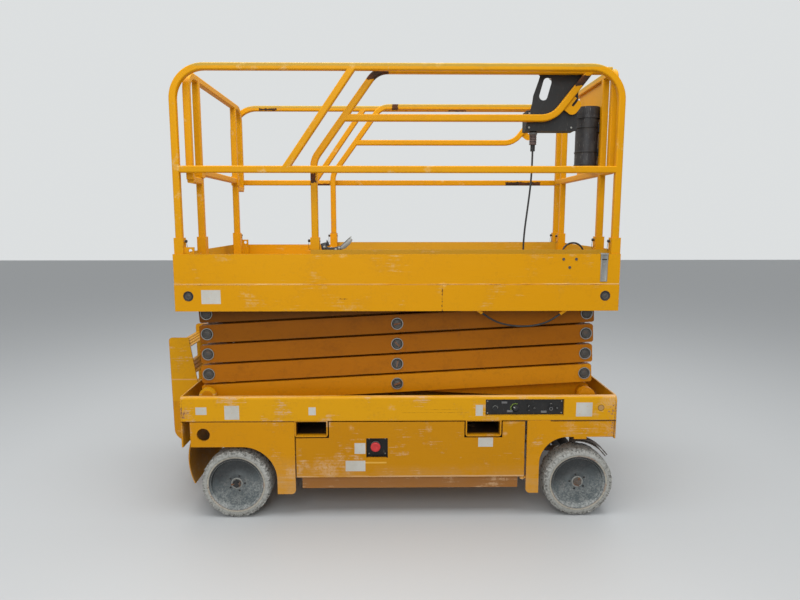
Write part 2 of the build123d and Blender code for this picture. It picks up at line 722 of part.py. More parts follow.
def cylinder_rod():
    """Rod of the lift cylinder, its eye open where the cross tube of level 2 comes out and goes in."""
    rod = round_x(0, 0, rod_radius, 95, cylinder_length - 36)
    rod += round_y(cylinder_length, 0, eye_radius, -eye_width / 2, eye_width / 2)
    way = Polyline(*[(cylinder_length + u, 0, n) for u, n in eye_path()[:-1]], close=True)
    mouth = offset(make_face(way), amount=cross_tube_radius + eye_clearance)
    rod -= extrude(mouth, amount=eye_width, dir=(0, 1, 0), both=True)
    return cylinder_frame * rod


# ---- platform pieces ----
def platform_frame():
    """Channel frame under the deck with the roller tracks and the brackets of the fixed pivot."""
    x0, x1 = platform_rear_x, platform_front_x
    outer = block(x0, x1, -half_width, half_width, skirt_bottom_z, deck_bottom_z)
    inner = block(x0 + plate, x1 - plate, -half_width + plate, half_width - plate,
                  skirt_bottom_z + plate, deck_bottom_z + 1)
    mouth = block(x0 + skirt_flange, x1 - skirt_flange, -half_width + skirt_flange,
                  half_width - skirt_flange, skirt_bottom_z - 1, skirt_bottom_z + plate + 1)
    frame = outer - inner - mouth
    for side in (1, -1):
        frame += side_block(side, -170, x1 - plate, track_y[0] - 4, half_width - plate,
                            top_pin_z + 45, deck_bottom_z)
        bracket = side_block(side, base_pin_x - 44, base_pin_x + 44, outer_arm_y + 6, outer_arm_y + 26,
                             top_pin_z, deck_bottom_z)
        bracket += round_y(base_pin_x, top_pin_z, 40, side * (outer_arm_y + 6), side * (outer_arm_y + 26))
        bracket += side_block(side, base_pin_x - 44, base_pin_x + 44, outer_arm_y + 6, half_width - plate,
                              top_pin_z + 40, deck_bottom_z)
        bracket += round_y(base_pin_x, top_pin_z, pin_radius, side * (inner_arm_y + 3), side * (outer_arm_y + 10))
        frame += bracket
    for x in (platform_rear_x + 71, platform_front_x - 72):
        frame -= round_y(x, 1219, 27, -half_width - 1, -half_width + 3)
        frame -= round_y(x, 1219, 27, half_width - 3, half_width + 1)
    return frame + harness_clips()


def deck():
    """Deck sheet on ribs between the arms."""
    sheet = block(platform_rear_x, platform_front_x, -half_width + toe_inset, half_width - toe_inset,
                  deck_bottom_z, deck_top_z)
    rib_half = inner_arm_y - 15
    count = 6
    spacing = (platform_length - 660) / (count - 1)
    for i in range(count):
        x = platform_rear_x + 280 + i * spacing
        sheet += block(x - 20, x + 20, -rib_half, rib_half, deck_bottom_z - 30, deck_bottom_z)
    return sheet


def toe_boards():
    """Side boards and rear board of the fixed platform, standing on the deck."""
    y1 = half_width - toe_inset
    board = None
    for side in (1, -1):
        piece = side_block(side, platform_rear_x, platform_front_x, y1 - toe_plate, y1, deck_top_z, toe_top_z)
        board = piece if board is None else board + piece
    board += block(platform_rear_x, platform_rear_x + toe_plate, -y1, y1, deck_top_z, toe_top_z)
    return board


brace_x = (-495, -142)


def side_rail(side):
    """Outer guard rail: a loop with bent corners, its mid rail, brace and post sockets."""
    xr = platform_rear_x + toe_plate + socket_size / 2 + 1
    xf = platform_front_x - socket_size / 2 - 1
    y = side * post_y
    base = deck_top_z + 8
    catch = side_block(side, xr + socket_size / 2 - 1, xr + socket_size / 2 + 52, post_y + 4, post_y + 12,
                       deck_top_z, 1472)
    catch -= round_y(xr + socket_size / 2 + 32, 1453, 10, side * post_y, side * (post_y + 20))
    return weld(
        rail([(xr, y, base), (xr, y, top_rail_z), (xf, y, top_rail_z), (xf, y, base)], rail_bend),
        rail([(xr, y, mid_rail_z), (xf, y, mid_rail_z)]),
        rail([(brace_x[0], y, mid_rail_z), (brace_x[1], y, top_rail_z)]),
        socket(xr, y), socket(xf, y), catch)


def end_frame(x, half, top, base, bend, gate):
    """End guard rail: bent top bar with short legs and two socketed posts, with its mid bar or gate stubs."""
    low = gate_stub_z if gate else mid_rail_z
    pieces = [rail([(x, -half, low), (x, -half, top), (x, half, top), (x, half, low)], bend,
                   across=(1, 0, 0))]
    for side in (1, -1):
        y = side * inner_post_y
        pieces.append(rail([(x, y, base + 4), (x, y, top)], across=(1, 0, 0)))
        pieces.append(socket(x, y, socket_top_z, base))
        if gate:
            pieces.append(rail([(x, side * half, low), (x, y, low)], across=(1, 0, 0)))
    if not gate:
        pieces.append(rail([(x, -half, low), (x, half, low)], across=(1, 0, 0)))
        pieces.append(block(x - 3, x + 3, -inner_post_y, 60, low, top))
    return weld(*pieces)


rear_frame_x = platform_rear_x + toe_plate + socket_size + 32
front_frame_x = extension_front_x - toe_plate - socket_size / 2 - 1
entry_sleeve = 5
gate_sleeve_height = 60
gate_stub_z = mid_rail_z - gate_sleeve_height / 2 - fit_gap - rail_size / 2


def rear_rail():
    """Rear guard rail with the gateway between its inner posts."""
    return end_frame(rear_frame_x, half_width - 80, top_rail_z - 20, deck_top_z, 85, True)


def entry_bar():
    """Gate bar across the entry that lifts on the inner posts."""
    z0 = mid_rail_z - gate_sleeve_height / 2
    z1 = z0 + gate_sleeve_height
    bore = rail_size / 2 + fit_gap
    outer = bore + entry_sleeve
    z_mid = (z0 + z1) / 2
    pieces = [rail([(rear_frame_x, -inner_post_y + outer - 1, z_mid), (rear_frame_x, inner_post_y - outer + 1, z_mid)],
                   across=(1, 0, 0))]
    for side in (1, -1):
        y = side * inner_post_y
        sleeve = block(rear_frame_x - outer, rear_frame_x + outer, y - outer, y + outer, z0, z1)
        pieces.append(sleeve - block(rear_frame_x - bore, rear_frame_x + bore, y - bore, y + bore, z0 - 1, z1 + 1))
    return weld(*pieces)


# ---- extension pieces ----
def extension_deck():
    """Sliding deck on two runners, with its side and front toe boards."""
    x0, x1 = extension_rear_x, extension_front_x
    h = extension_half_width
    z0 = deck_top_z + slider_height
    deck_piece = block(x0, x1, -h, h, z0, extension_top_deck_z)
    for side in (1, -1):
        deck_piece += side_block(side, x0, x1 - 40, h - 60, h - 20, deck_top_z + fit_gap, z0)
        deck_piece += side_block(side, x0, x1, h - toe_plate, h, z0, extension_toe_top_z)
    deck_piece += block(x1 - toe_plate, x1, -h, h, z0, extension_toe_top_z)
    return deck_piece + plug_holder()


ext_post_x = extension_rear_x + 20
ext_post_top_z = extension_top_z - 447.5
ext_top_corner_x = -26
ext_rise_x = (extension_front_x - 342, extension_front_x - 157)      # foot and head of the mid rail's rise


def extension_rail(side):
    """Inner guard rail: upright, slanting tube and top tube, with the mid rail that rises in front."""
    y = side * extension_rail_y
    base = extension_top_deck_z
    slope = (extension_top_z - ext_post_top_z) / (ext_top_corner_x - ext_post_x)
    mid_start = ext_post_x + (extension_mid_z - ext_post_top_z) / slope
    front_y_gap = rail_size / 2
    return weld(
        rail([(ext_post_x, y, base + 4), (ext_post_x, y, ext_post_top_z),
              (ext_top_corner_x, y, extension_top_z), (front_frame_x - front_y_gap, y, extension_top_z)], 110),
        rail([(mid_start, y, extension_mid_z), (ext_rise_x[0], y, extension_mid_z),
              (ext_rise_x[1], y, extension_top_z)], 130),
        socket(ext_post_x, y, socket_top_z, base), hook_plate(side))


def hook_plate(side):
    """Open hook for a lanyard under the rising tube."""
    slope = degrees(asin((extension_top_z - extension_mid_z)
                         / hypot(ext_rise_x[1] - ext_rise_x[0], extension_top_z - extension_mid_z)))
    along = Location((extension_front_x - 242, side * extension_rail_y, extension_top_z - 173), (0, -slope, 0))
    hook = Box(84, 6, 76)
    hook = fillet(hook.edges().filter_by(Axis.Y).group_by(Axis.Z)[0], 30)
    hook -= Pos(24, 0, 0) * Box(40, 8, 13)
    hook -= Pos(4, 0, 0) * Rot(90, 0, 0) * Cylinder(6.5, 8)
    return along * hook


def front_rail():
    """Front guard rail of the extension, with the sheet panel between its bars."""
    return end_frame(front_frame_x, extension_rail_y, extension_top_z, extension_top_deck_z, 40, False)


def control_box():
    """Operator's console: box on a hanger plate with a slanted hand slot, and its cord gland."""
    face_y, back_y, rear_y = console_y
    x0, x1 = console_x
    z0, z1, z2 = console_z
    top = extension_top_z + rail_size / 2
    outline = xz([(x0, z0), (x1, z0), (x1, z2), (x1 + 46, top), (x0 + 42, top), (x0 + 42, top - 10),
                  (x0 + 68, top - 40), (x0 + 61, top - 64), (x0 + 36, top - 137), (x0 + 32, top - 172), (x0, z0 + 19)])
    hanger = Pos(0, face_y, 0) * extrude(make_face(outline), amount=back_y - face_y, dir=(0, 1, 0))
    slot = Pos(x0 + 98, face_y, top - 104) * Rot(0, 15, 0) * Rot(90, 0, 0)
    hanger -= slot * extrude(SlotOverall(115, 43, rotation=90), amount=20, both=True)
    lower = block(x0 + 6, x1 - 4, back_y, rear_y, z0 + 4, z1)
    upper = xz([(x1 - 115, z1), (x1 - 4, z1), (x1 - 4, z2), (x1 - 95, z2)])
    upper = Pos(0, back_y, 0) * extrude(make_face(upper), amount=rear_y - back_y, dir=(0, 1, 0))
    gland_x, gland_y, cord_top = control_cord_points[0]
    glands = round_z(gland_x, gland_y, 17, cord_top + 34, z0 + 4)
    glands += round_z(gland_x, gland_y, 12, cord_top, cord_top + 34)
    stick = round_z(x1 - 45, (back_y + rear_y) / 2, 13, z2, z2 + 22)
    return weld(hanger, lower, upper, glands, stick)


def document_tube():
    """Capped tube for the manual, strapped to the front panel."""
    x = front_frame_x - 3 - 66
    y = -300
    tube = round_z(x, y, 60, 1908, 2200)
    tube += round_z(x, y, 66, 2160, 2220)
    for z in (1960, 2090):
        tube += block(x, front_frame_x - 3, y - 30, y + 30, z, z + 40)
    return tube


def lock_pedal():
    """Foot pedal that locks the extension, on the runner beside the right upright."""
    y0, y1 = -extension_rail_y - 14, -extension_rail_y + 14
    base_z = extension_top_deck_z
    x = ext_post_x + socket_size / 2
    body = block(x, x + 110, y0, y1, base_z, base_z + 60)
    outline = xz([(x + 6, base_z + 58), (x + 118, base_z + 130), (x + 186, base_z + 176),
                  (x + 192, base_z + 160), (x + 120, base_z + 104), (x + 60, base_z + 58)])
    lever = Pos(0, y0, 0) * extrude(make_face(outline), amount=y1 - y0, dir=(0, 1, 0))
    return body + lever


def cord(points, diameter):
    """Round cord along straight runs joined by the largest arcs that fit; prints its bends."""
    runs = [Vector(*b) - Vector(*a) for a, b in zip(points, points[1:])]
    spans = [0.45 * run.length for run in runs]
    spans[0] *= 2
    spans[-1] *= 2
    radii = []
    for i in range(1, len(runs)):
        turn = radians(runs[i - 1].get_angle(runs[i]))
        radii.append(min(spans[i - 1], spans[i]) / tan(turn / 2))
    path = FilletPolyline(*points, radius=radii)
    section = Plane(origin=path @ 0, z_dir=path % 0) * Circle(diameter / 2)
    tube = sweep(section, path=path)
    expected = 3.14159265 * diameter ** 2 / 4 * path.length
    print("cord", round(path.length), "mm, radii", [round(r) for r in radii],
          "volume ratio", round(tube.volume / expected, 4))
    return tube


def cord_plug():
    """Connector at the end of the control cord, in its holder on the extension's side board."""
    x, y, z = control_cord_points[-1]
    plug = round_z(x, y, 15, z - 46, z)
    plug += round_z(x, y, 19, z - 60, z - 40)
    return plug


def plug_holder():
    """Bracket that carries the cord's connector."""
    x, y, z = control_cord_points[-1]
    top = z - 60
    wall_y = -extension_half_width + toe_plate
    arm = block(x - 22, x + 22, wall_y, y + 22, top - 8, top)
    return arm + block(x - 22, x + 22, wall_y, wall_y + 5, top - 60, top)


def harness_clips():
    """Glands under the right skirt's lower flange where the harness loop leaves and comes back."""
    glands = []
    for end, inner in ((0, 1), (-1, -2)):
        start = Vector(*harness_cord_points[end])
        out = (start - Vector(*harness_cord_points[inner])).normalized()
        gland = Plane(origin=start, z_dir=out) * extrude(Circle(9), amount=45)
        glands.append(gland & block(0, platform_front_x, -half_width, 0, 0, skirt_bottom_z + 1))
    return glands[0] + glands[1]


# ---- all nodes ----
nodes = {
    "side_beams": both(side_beam),
    "ground_controls": ground_controls(),
    "fenders": both(fenders),
    "chassis_core": chassis_core(),
    "end_plates": end_plates(),
    "fork_pockets": fork_pockets(),
    "ladder": ladder(),
    "axles": Compound(children=[rear_axle().solid(), front_axle().solid()]),
    "tie_rod": tie_rod(),
    "batteries": tray_load(-1),
    "power_unit": tray_load(1),
    "emergency_stop": emergency_stop(),
    "base_shaft": base_shaft(),
    "cylinder_barrel": cylinder_barrel(),
    "cylinder_rod": cylinder_rod(),
    "platform_frame": platform_frame(),
    "deck": deck(),
    "toe_boards": toe_boards(),
    "side_rails": both(side_rail),
    "rear_rail": rear_rail(),
    "entry_bar": entry_bar(),
    "extension_deck": extension_deck(),
    "extension_rails": both(extension_rail),
    "front_rail": front_rail(),
    "control_box": control_box(),
    "document_tube": document_tube(),
    "lock_pedal": lock_pedal(),
    "control_cord": cord(control_cord_points, control_cord_diameter),
    "cord_plug": cord_plug(),
    "harness_cord": cord(harness_cord_points, harness_cord_diameter),
}
for k in range(1, levels + 1):
    nodes[f"outer_arms_{k}"] = outer_arms(k)
    nodes[f"inner_arms_{k}"] = inner_arms(k)
    nodes[f"cross_tubes_{k}"] = cross_tubes(k)
for name, side in (("left", 1), ("right", -1)):
    nodes[f"tray_{name}"] = tray(side)
    nodes[f"pothole_guard_{name}"] = pothole_guard(side)
    nodes[f"knuckle_{name}"] = knuckle(side)
    for end, x in (("front", front_axle_x), ("rear", rear_axle_x)):
        nodes[f"tyre_{end}_{name}"] = tyre(x, side)
        nodes[f"rim_{end}_{name}"] = rim(x, side)

os.makedirs("parts", exist_ok=True)
for name, shape in nodes.items():
    export_step(shape, f"parts/{name}.step")
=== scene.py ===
import json
from math import cos, pi, radians, sin
import bmesh
import bpy
from mathutils import Matrix, Vector


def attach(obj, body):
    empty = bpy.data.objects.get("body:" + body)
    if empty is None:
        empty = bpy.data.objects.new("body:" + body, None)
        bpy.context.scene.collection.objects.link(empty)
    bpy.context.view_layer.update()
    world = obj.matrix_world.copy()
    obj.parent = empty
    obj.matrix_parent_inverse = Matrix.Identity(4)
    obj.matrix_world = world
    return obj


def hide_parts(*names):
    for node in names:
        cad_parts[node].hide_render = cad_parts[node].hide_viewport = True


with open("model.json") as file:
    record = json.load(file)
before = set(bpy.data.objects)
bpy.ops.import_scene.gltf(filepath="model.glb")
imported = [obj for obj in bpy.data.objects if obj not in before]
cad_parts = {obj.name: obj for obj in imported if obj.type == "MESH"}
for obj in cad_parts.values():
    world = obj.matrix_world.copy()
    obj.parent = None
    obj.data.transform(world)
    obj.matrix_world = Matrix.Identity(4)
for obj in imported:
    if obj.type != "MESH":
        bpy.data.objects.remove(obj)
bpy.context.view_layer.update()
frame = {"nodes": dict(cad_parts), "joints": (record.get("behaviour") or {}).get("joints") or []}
nodes = frame["nodes"]
print("frame loaded,", len(nodes), "nodes")


# camera, where a person stands a little over three metres off the right side
view = {"place": (0.0543, -3.6495, 1.6144), "focal": 26.63, "down": 0.1355, "turn": 0.0123}


def addCamera(s):
    bpy.ops.object.camera_add(location=s["place"], rotation=(pi / 2 - s["down"], 0, -s["turn"]))
    camera = bpy.context.object
    camera.data.lens = s["focal"]
    camera.data.sensor_width = 36
    bpy.context.scene.camera = camera


addCamera(view)


class Wire:  # one socket of a material, so that masks can be written as sums
    def __init__(self, recipe, socket):
        self.recipe, self.socket = recipe, socket

    def sum(self, kind, first, second=0.0, clamp=False):
        return self.recipe.add("ShaderNodeMath", {"operation": kind, "use_clamp": clamp}, {0: first, 1: second})

    def __add__(self, other): return self.sum("ADD", self, other)
    def __radd__(self, other): return self.sum("ADD", other, self)
    def __sub__(self, other): return self.sum("SUBTRACT", self, other)
    def __rsub__(self, other): return self.sum("SUBTRACT", other, self)
    def __mul__(self, other): return self.sum("MULTIPLY", self, other)
    def __rmul__(self, other): return self.sum("MULTIPLY", other, self)
    def __truediv__(self, other): return self.sum("DIVIDE", self, other)
    def __pow__(self, other): return self.sum("POWER", self, other)
    def clamped(self): return self.sum("ADD", self, 0.0, clamp=True)
    def lift(self, level, steep): return self.sum("MULTIPLY", self - level, steep, clamp=True)
    def most(self, other): return self.sum("MAXIMUM", self, other)
    def least(self, other): return self.sum("MINIMUM", self, other)
    def size(self): return self.sum("ABSOLUTE", self)


class Recipe:  # a material, built node by node
    def __init__(self, name):
        self.material = bpy.data.materials.new(name)
        self.material.use_nodes = True
        self.tree = self.material.node_tree
        self.shader = self.tree.nodes["Principled BSDF"]
        self.place = self.add("ShaderNodeTexCoord", out="Object")

    def put(self, socket, value):
        if isinstance(value, Wire):
            self.tree.links.new(value.socket, socket)
        elif socket.type == "RGBA" and len(value) == 3:
            socket.default_value = (*value, 1)
        else:
            socket.default_value = value

    def add(self, kind, settings=None, values=None, out=0):
        node = self.tree.nodes.new(kind)
        for key, value in (settings or {}).items():
            if key == "stops":
                for i, (at, colour) in enumerate(value):
                    stop = node.color_ramp.elements[i] if i < 2 else node.color_ramp.elements.new(at)
                    stop.position, stop.color = at, (*colour, 1)
            else:
                setattr(node, key, value)
        for key, value in (values or {}).items():
            self.put(node.inputs[key], value)
        return Wire(self, node.outputs[out])

    def stretch(self, scale, turn=(0, 0, 0), move=(0, 0, 0), place=None):
        return self.add("ShaderNodeMapping", None, {"Vector": place or self.place, "Location": move,
                                                     "Rotation": turn, "Scale": scale})

    def noise(self, scale, detail=3.0, rough=0.5, place=None, warp=0.0):
        return self.add("ShaderNodeTexNoise", None, {"Vector": place or self.place, "Scale": scale, "Detail": detail,
                                                      "Roughness": rough, "Distortion": warp})

    def cells(self, scale):
        return self.add("ShaderNodeTexVoronoi", None, {"Vector": self.place, "Scale": scale}, out="Distance")

    def axes(self, place=None):
        node = self.tree.nodes.new("ShaderNodeSeparateXYZ")
        self.put(node.inputs[0], place or self.place)
        return [Wire(self, node.outputs[i]) for i in range(3)]

    def near(self, point, reach):  # 1 at the point, 0 at its reach
        gap = self.add("ShaderNodeVectorMath", {"operation": "DISTANCE"}, {0: self.place, 1: point}, out="Value")
        return (1 - gap / reach).clamped()

    def depth(self, low, high):  # how far inside a box a point lies, in metres
        middle = [(a + b) / 2 for a, b in zip(low, high)]
        half = [(b - a) / 2 for a, b in zip(low, high)]
        gap = self.add("ShaderNodeVectorMath", {"operation": "SUBTRACT"}, {0: self.place, 1: middle})
        gap = self.add("ShaderNodeVectorMath", {"operation": "ABSOLUTE"}, {0: gap})
        room = self.axes(self.add("ShaderNodeVectorMath", {"operation": "SUBTRACT"}, {0: half, 1: gap}))
        return room[0].least(room[1]).least(room[2])

    def mix(self, share, first, second):
        return self.add("ShaderNodeMix", {"data_type": "RGBA", "clamp_factor": True},
                        {0: share, 6: first, 7: second}, out=2)

    def edges(self, width):  # how near an outside or inside corner is
        rounded = self.add("ShaderNodeBevel", {"samples": 4}, {"Radius": width})
        true = self.add("ShaderNodeNewGeometry", out="True Normal")
        same = self.add("ShaderNodeVectorMath", {"operation": "DOT_PRODUCT"}, {0: rounded, 1: true}, out="Value")
        return ((1 - same) * 3).clamped()

    def bump(self, height, strength, depth):
        self.put(self.shader.inputs["Normal"],
                 self.add("ShaderNodeBump", None, {"Height": height, "Strength": strength, "Distance": depth}))

    def finish(self, colour, roughness, metallic=0.0, **others):
        self.put(self.shader.inputs["Base Color"], colour)
        self.put(self.shader.inputs["Roughness"], roughness)
        self.put(self.shader.inputs["Metallic"], metallic)
        for key, value in others.items():
            self.put(self.shader.inputs[key.replace("_", " ")], value)
        return self.material


labelsFrom, labelsTo = -0.62, -0.5  # labels are only on the right side, between these two y


def wornPaint(name, s):
    r = Recipe(name)
    x, y, z = r.axes()
    wide = r.noise(1.3, 3)
    cloud = r.noise(8, 5, 0.6)
    fine = r.noise(75, 6, 0.65)
    speck = r.noise(230, 4, 0.6)
    streak = r.noise(1, 5, 0.7, r.stretch(s["streaks"]))
    edge = r.edges(s["edge"])
    paint = r.mix(wide.lift(0.36, 3) * 0.6, s["colour"], s["faded"])
    paint = r.mix(streak.lift(0.585, 12) * s["scuffs"], paint, s["scuffed"])
    paint = r.mix((1 - streak).lift(0.6, 14) * s["scratches"], paint, s["dirt"])
    grime = (cloud * 0.55 + fine * 0.45).lift(0.5, 7) * s["grime"]
    if "lowDust" in s:
        top, depth, amount = s["lowDust"]
        low = ((top - z) / depth).clamped() * (cloud * 0.6 + streak * 0.4).lift(0.4, 4) * amount
        paint = r.mix(low, paint, s["dust"])
    if "inner" in s:  # the inside of the pockets, darker with depth: painted shade where light does not reach
        face, depth, colour = s["inner"]
        paint = r.mix(((face - y.size()) / depth).clamped(), paint, colour)
    # another tone above this height: painted highlight on the beam, faded paint and painted highlight on the rail
    # tops
    if "top" in s:
        paint = r.mix(((z - s["top"]) * 250 + (cloud - 0.5) * 2).clamped() * 0.75, paint, s["topHighlightAndFading"])
    # boxes of painted shade and of painted highlight
    for low, high, colour in s.get("paintedShadeAndHighlight", ()):
        paint = r.mix((r.depth(low, high) / 0.002).clamped() * 0.85, paint, colour)
    # pale lines: rubbed paint, and painted highlight along the platform's seam
    for level, thick, amount in s.get("rubbedAndHighlightLines", ()):
        line = ((thick - (z - level).size()) / 0.0012 + (fine - 0.5) * 3).clamped() * (wide + streak).lift(0.86, 5)
        paint = r.mix(line * amount, paint, s["rubbed"])
    for at, reach in s.get("paleMarks", ()):
        mark = (r.near(at, reach) * 1.5 + (cloud - 0.5) * 4 + (streak - 0.5) * 3 - 0.5).clamped()
        mark = mark * fine.lift(0.38, 6)
        paint = r.mix(mark * 0.6, paint, s["rubbed"])
    for at, size in s.get("boltHeads", ()):  # flush heads, with a dark ring
        within = r.near(at, size) * (size / 0.0012)
        paint = r.mix(within.clamped() * 0.75, paint, s["shadowAndGrease"])
        paint = r.mix((within - 2.6).clamped() * 0.85, paint, s["head"])
    # dark lines, among them painted shadow under the proud bottom edge of the beam
    for low, high in s.get("shadowAndGreaseLines", ()):
        paint = r.mix((r.depth(low, high) / 0.002 + (fine - 0.4) * 2).clamped() * 0.85, paint, s["shadowAndGrease"])
    paint = r.mix(grime.clamped(), paint, s["dirt"])
    wear = fine * 0.44 + cloud * 0.26 + speck * 0.14 + wide * 0.16 + edge * s["edgeWear"]
    for at, reach, more in s.get("wornSpots", ()):
        wear = wear + r.near(at, reach).lift(0, 2.0) * more
    primer = wear.lift(s["chips"], 26)
    bare = wear.lift(s["chips"] + 0.03, 30)
    # patches of bare steel and rust: scratches, and painted shadow where the inner rails pass under other rails
    for low, high in s.get("bareAndShadowPatches", ()):
        bare = bare.most((r.depth(low, high) / 0.003 + (fine - 0.45) * 9).clamped())
    colour = r.mix(primer, paint, s["primer"])
    colour = r.mix(bare, colour, r.mix(cloud.lift(0.45, 6), s["steel"], s["rust"]))
    for x0, x1, z0, z1 in s.get("blankLabels", ()):  # stickers with nothing left on them
        label = (r.depth((x0, labelsFrom, z0), (x1, labelsTo, z1)) * 1500).clamped()
        colour = r.mix(label * (1 - fine.lift(0.6, 14) * 0.7), colour, r.mix(cloud, s["label"], s["labelDirt"]))
    r.bump(fine * 0.2 - primer * 0.4 - bare * 0.35 + streak * 0.12, 0.5, 0.0012)
    return r.finish(colour, s["gloss"] + grime * 0.25 + bare * 0.25 + streak.lift(0.5, 4) * 0.12, bare * 0.2,
                    Specular_IOR_Level=0.14)


def plainMetal(name, s):
    r = Recipe(name)
    cloud = r.noise(14, 5, 0.6)
    fine = r.noise(120, 5, 0.6)
    brushed = r.noise(60, 3, 0.5, r.stretch(s["grain"]))
    edge = r.edges(0.002)
    rust = (cloud * 0.7 + fine * 0.3).lift(s["rustAt"], 9)
    colour = r.mix(cloud, s["colour"], s["other"])
    colour = r.mix((edge * s["edgeShine"]).clamped(), colour, s["shine"])
    colour = r.mix(rust, colour, r.mix(fine, s["rust"], s["rustDark"]))
    r.bump(fine * 0.3 + brushed * 0.3 + rust * 0.6, 0.45, 0.0008)
    return r.finish(colour, s["gloss"] + brushed * 0.15 + rust * 0.35, (s["metal"] - rust * s["metal"]).clamped())


def mouldedPlastic(name, s):
    r = Recipe(name)
    cloud = r.noise(18, 4, 0.55)
    pebble = r.cells(s["pebble"])
    fine = r.noise(220, 3, 0.5)
    scratch = r.noise(30, 4, 0.6, r.stretch((9, 1, 1), (0.3, 0.4, 0.8)))
    edge = r.edges(0.0015)
    dust = cloud.lift(0.46, 4) * s["dust"] + edge * 0.12
    colour = r.mix(dust.clamped(), s["colour"], s["dustColour"])
    colour = r.mix(scratch.lift(0.62, 9) * s["scratches"], colour, s["scratch"])
    r.bump(pebble * 0.5 + fine * 0.3 + scratch.lift(0.64, 8) * 0.4, s["depth"], 0.0006)
    return r.finish(colour, s["gloss"] + dust * 0.35, 0.0)


yellow = {
    "colour": (0.66, 0.292, 0.0008), "faded": (0.7, 0.325, 0.002), "scuffed": (0.76, 0.43, 0.06),
    "dirt": (0.27, 0.12, 0.02), "primer": (0.46, 0.24, 0.12), "steel": (0.045, 0.026, 0.018),
    "rust": (0.13, 0.045, 0.016), "dust": (0.55, 0.35, 0.2), "rubbed": (0.8, 0.56, 0.24),
    "shadowAndGrease": (0.035, 0.018, 0.006), "head": (0.5, 0.3, 0.12), "label": (0.66, 0.66, 0.63),
    "labelDirt": (0.42, 0.39, 0.32), "gloss": 0.42, "edge": 0.004, "edgeWear": 0.2, "chips": 0.66, "scuffs": 0.05,
    "scratches": 0.06, "grime": 0.16, "streaks": (5, 60, 110)}
plateYellow = dict(
    # inside faces of the toe boards: painted shade, darker and more olive
    yellow, paintedShadeAndHighlight=[((-1.08, -0.591, 1.283), (1.3, 0.591, 1.47), (0.52, 0.3, 0.022))],
    # the pale line along the seam: rubbed paint and painted highlight
    rubbedAndHighlightLines=[(1.2805, 0.0042, 0.85)], blankLabels=[(-0.937, -0.837, 1.179, 1.252)],
    wornSpots=[((-0.2, -0.6, 1.43), 0.1, 0.05), ((0.3, -0.6, 1.28), 0.06, 0.08)],
    bareAndShadowPatches=[((-0.222, -0.62, 1.2035), (-0.176, -0.59, 1.2055)), ((0.311, -0.62, 1.14), (0.3125, -0.59, 1.281))],
    paleMarks=[((0.32, -0.6, 1.281), 0.035), ((-0.2, -0.6, 1.436), 0.035)])
railYellow = dict(
    # the rail tops take an olive tone: faded paint and painted highlight
    yellow, chips=0.655, edgeWear=0.14, streaks=(9, 9, 9), top=2.366, topHighlightAndFading=(0.44, 0.31, 0.055),
    wornSpots=[((-0.9, 0.567, 2.36), 0.35, 0.1), ((0.3, 0.567, 2.36), 0.6, 0.07),
        ((-0.3, -0.567, 2.37), 0.3, 0.05), ((0.9, -0.567, 2.37), 0.4, 0.06), ((1.19, -0.567, 2.3), 0.12, 0.08),
        ((-0.95, -0.567, 1.52), 0.12, 0.06)],
    bareAndShadowPatches=[((-0.523, 0.54, 1.84), (-0.384, 0.6, 1.86)), ((0.843, 0.54, 1.846), (1.09, 0.6, 1.872)),
        ((-0.86, 0.54, 2.352), (-0.74, 0.6, 2.365)), ((0.44, 0.54, 2.35), (0.56, 0.6, 2.36))],
    paleMarks=[((0.215, -0.567, 2.38), 0.03), ((0.29, -0.567, 2.38), 0.035), ((-0.142, -0.567, 2.36), 0.035)])
innerRailYellow = dict(
    railYellow,
    wornSpots=[((-0.355, -0.5, 1.83), 0.09, 0.1), ((-0.2, -0.5, 2.15), 0.16, 0.07),
        ((-0.355, 0.5, 1.6), 0.16, 0.1)],
    # the first three patches are painted shadow where the inner rails pass under the top rail and the mid rail
    bareAndShadowPatches=[((-0.078, -0.53, 2.318), (0.035, -0.47, 2.39)), ((0.99, -0.53, 2.29), (1.085, -0.47, 2.342)),
        ((-0.38, -0.53, 1.802), (-0.345, -0.47, 1.85)), ((0.05, 0.47, 2.345), (0.092, 0.53, 2.39)),
        ((-0.2, 0.515, 2.1), (-0.12, 0.53, 2.25))], paleMarks=[])
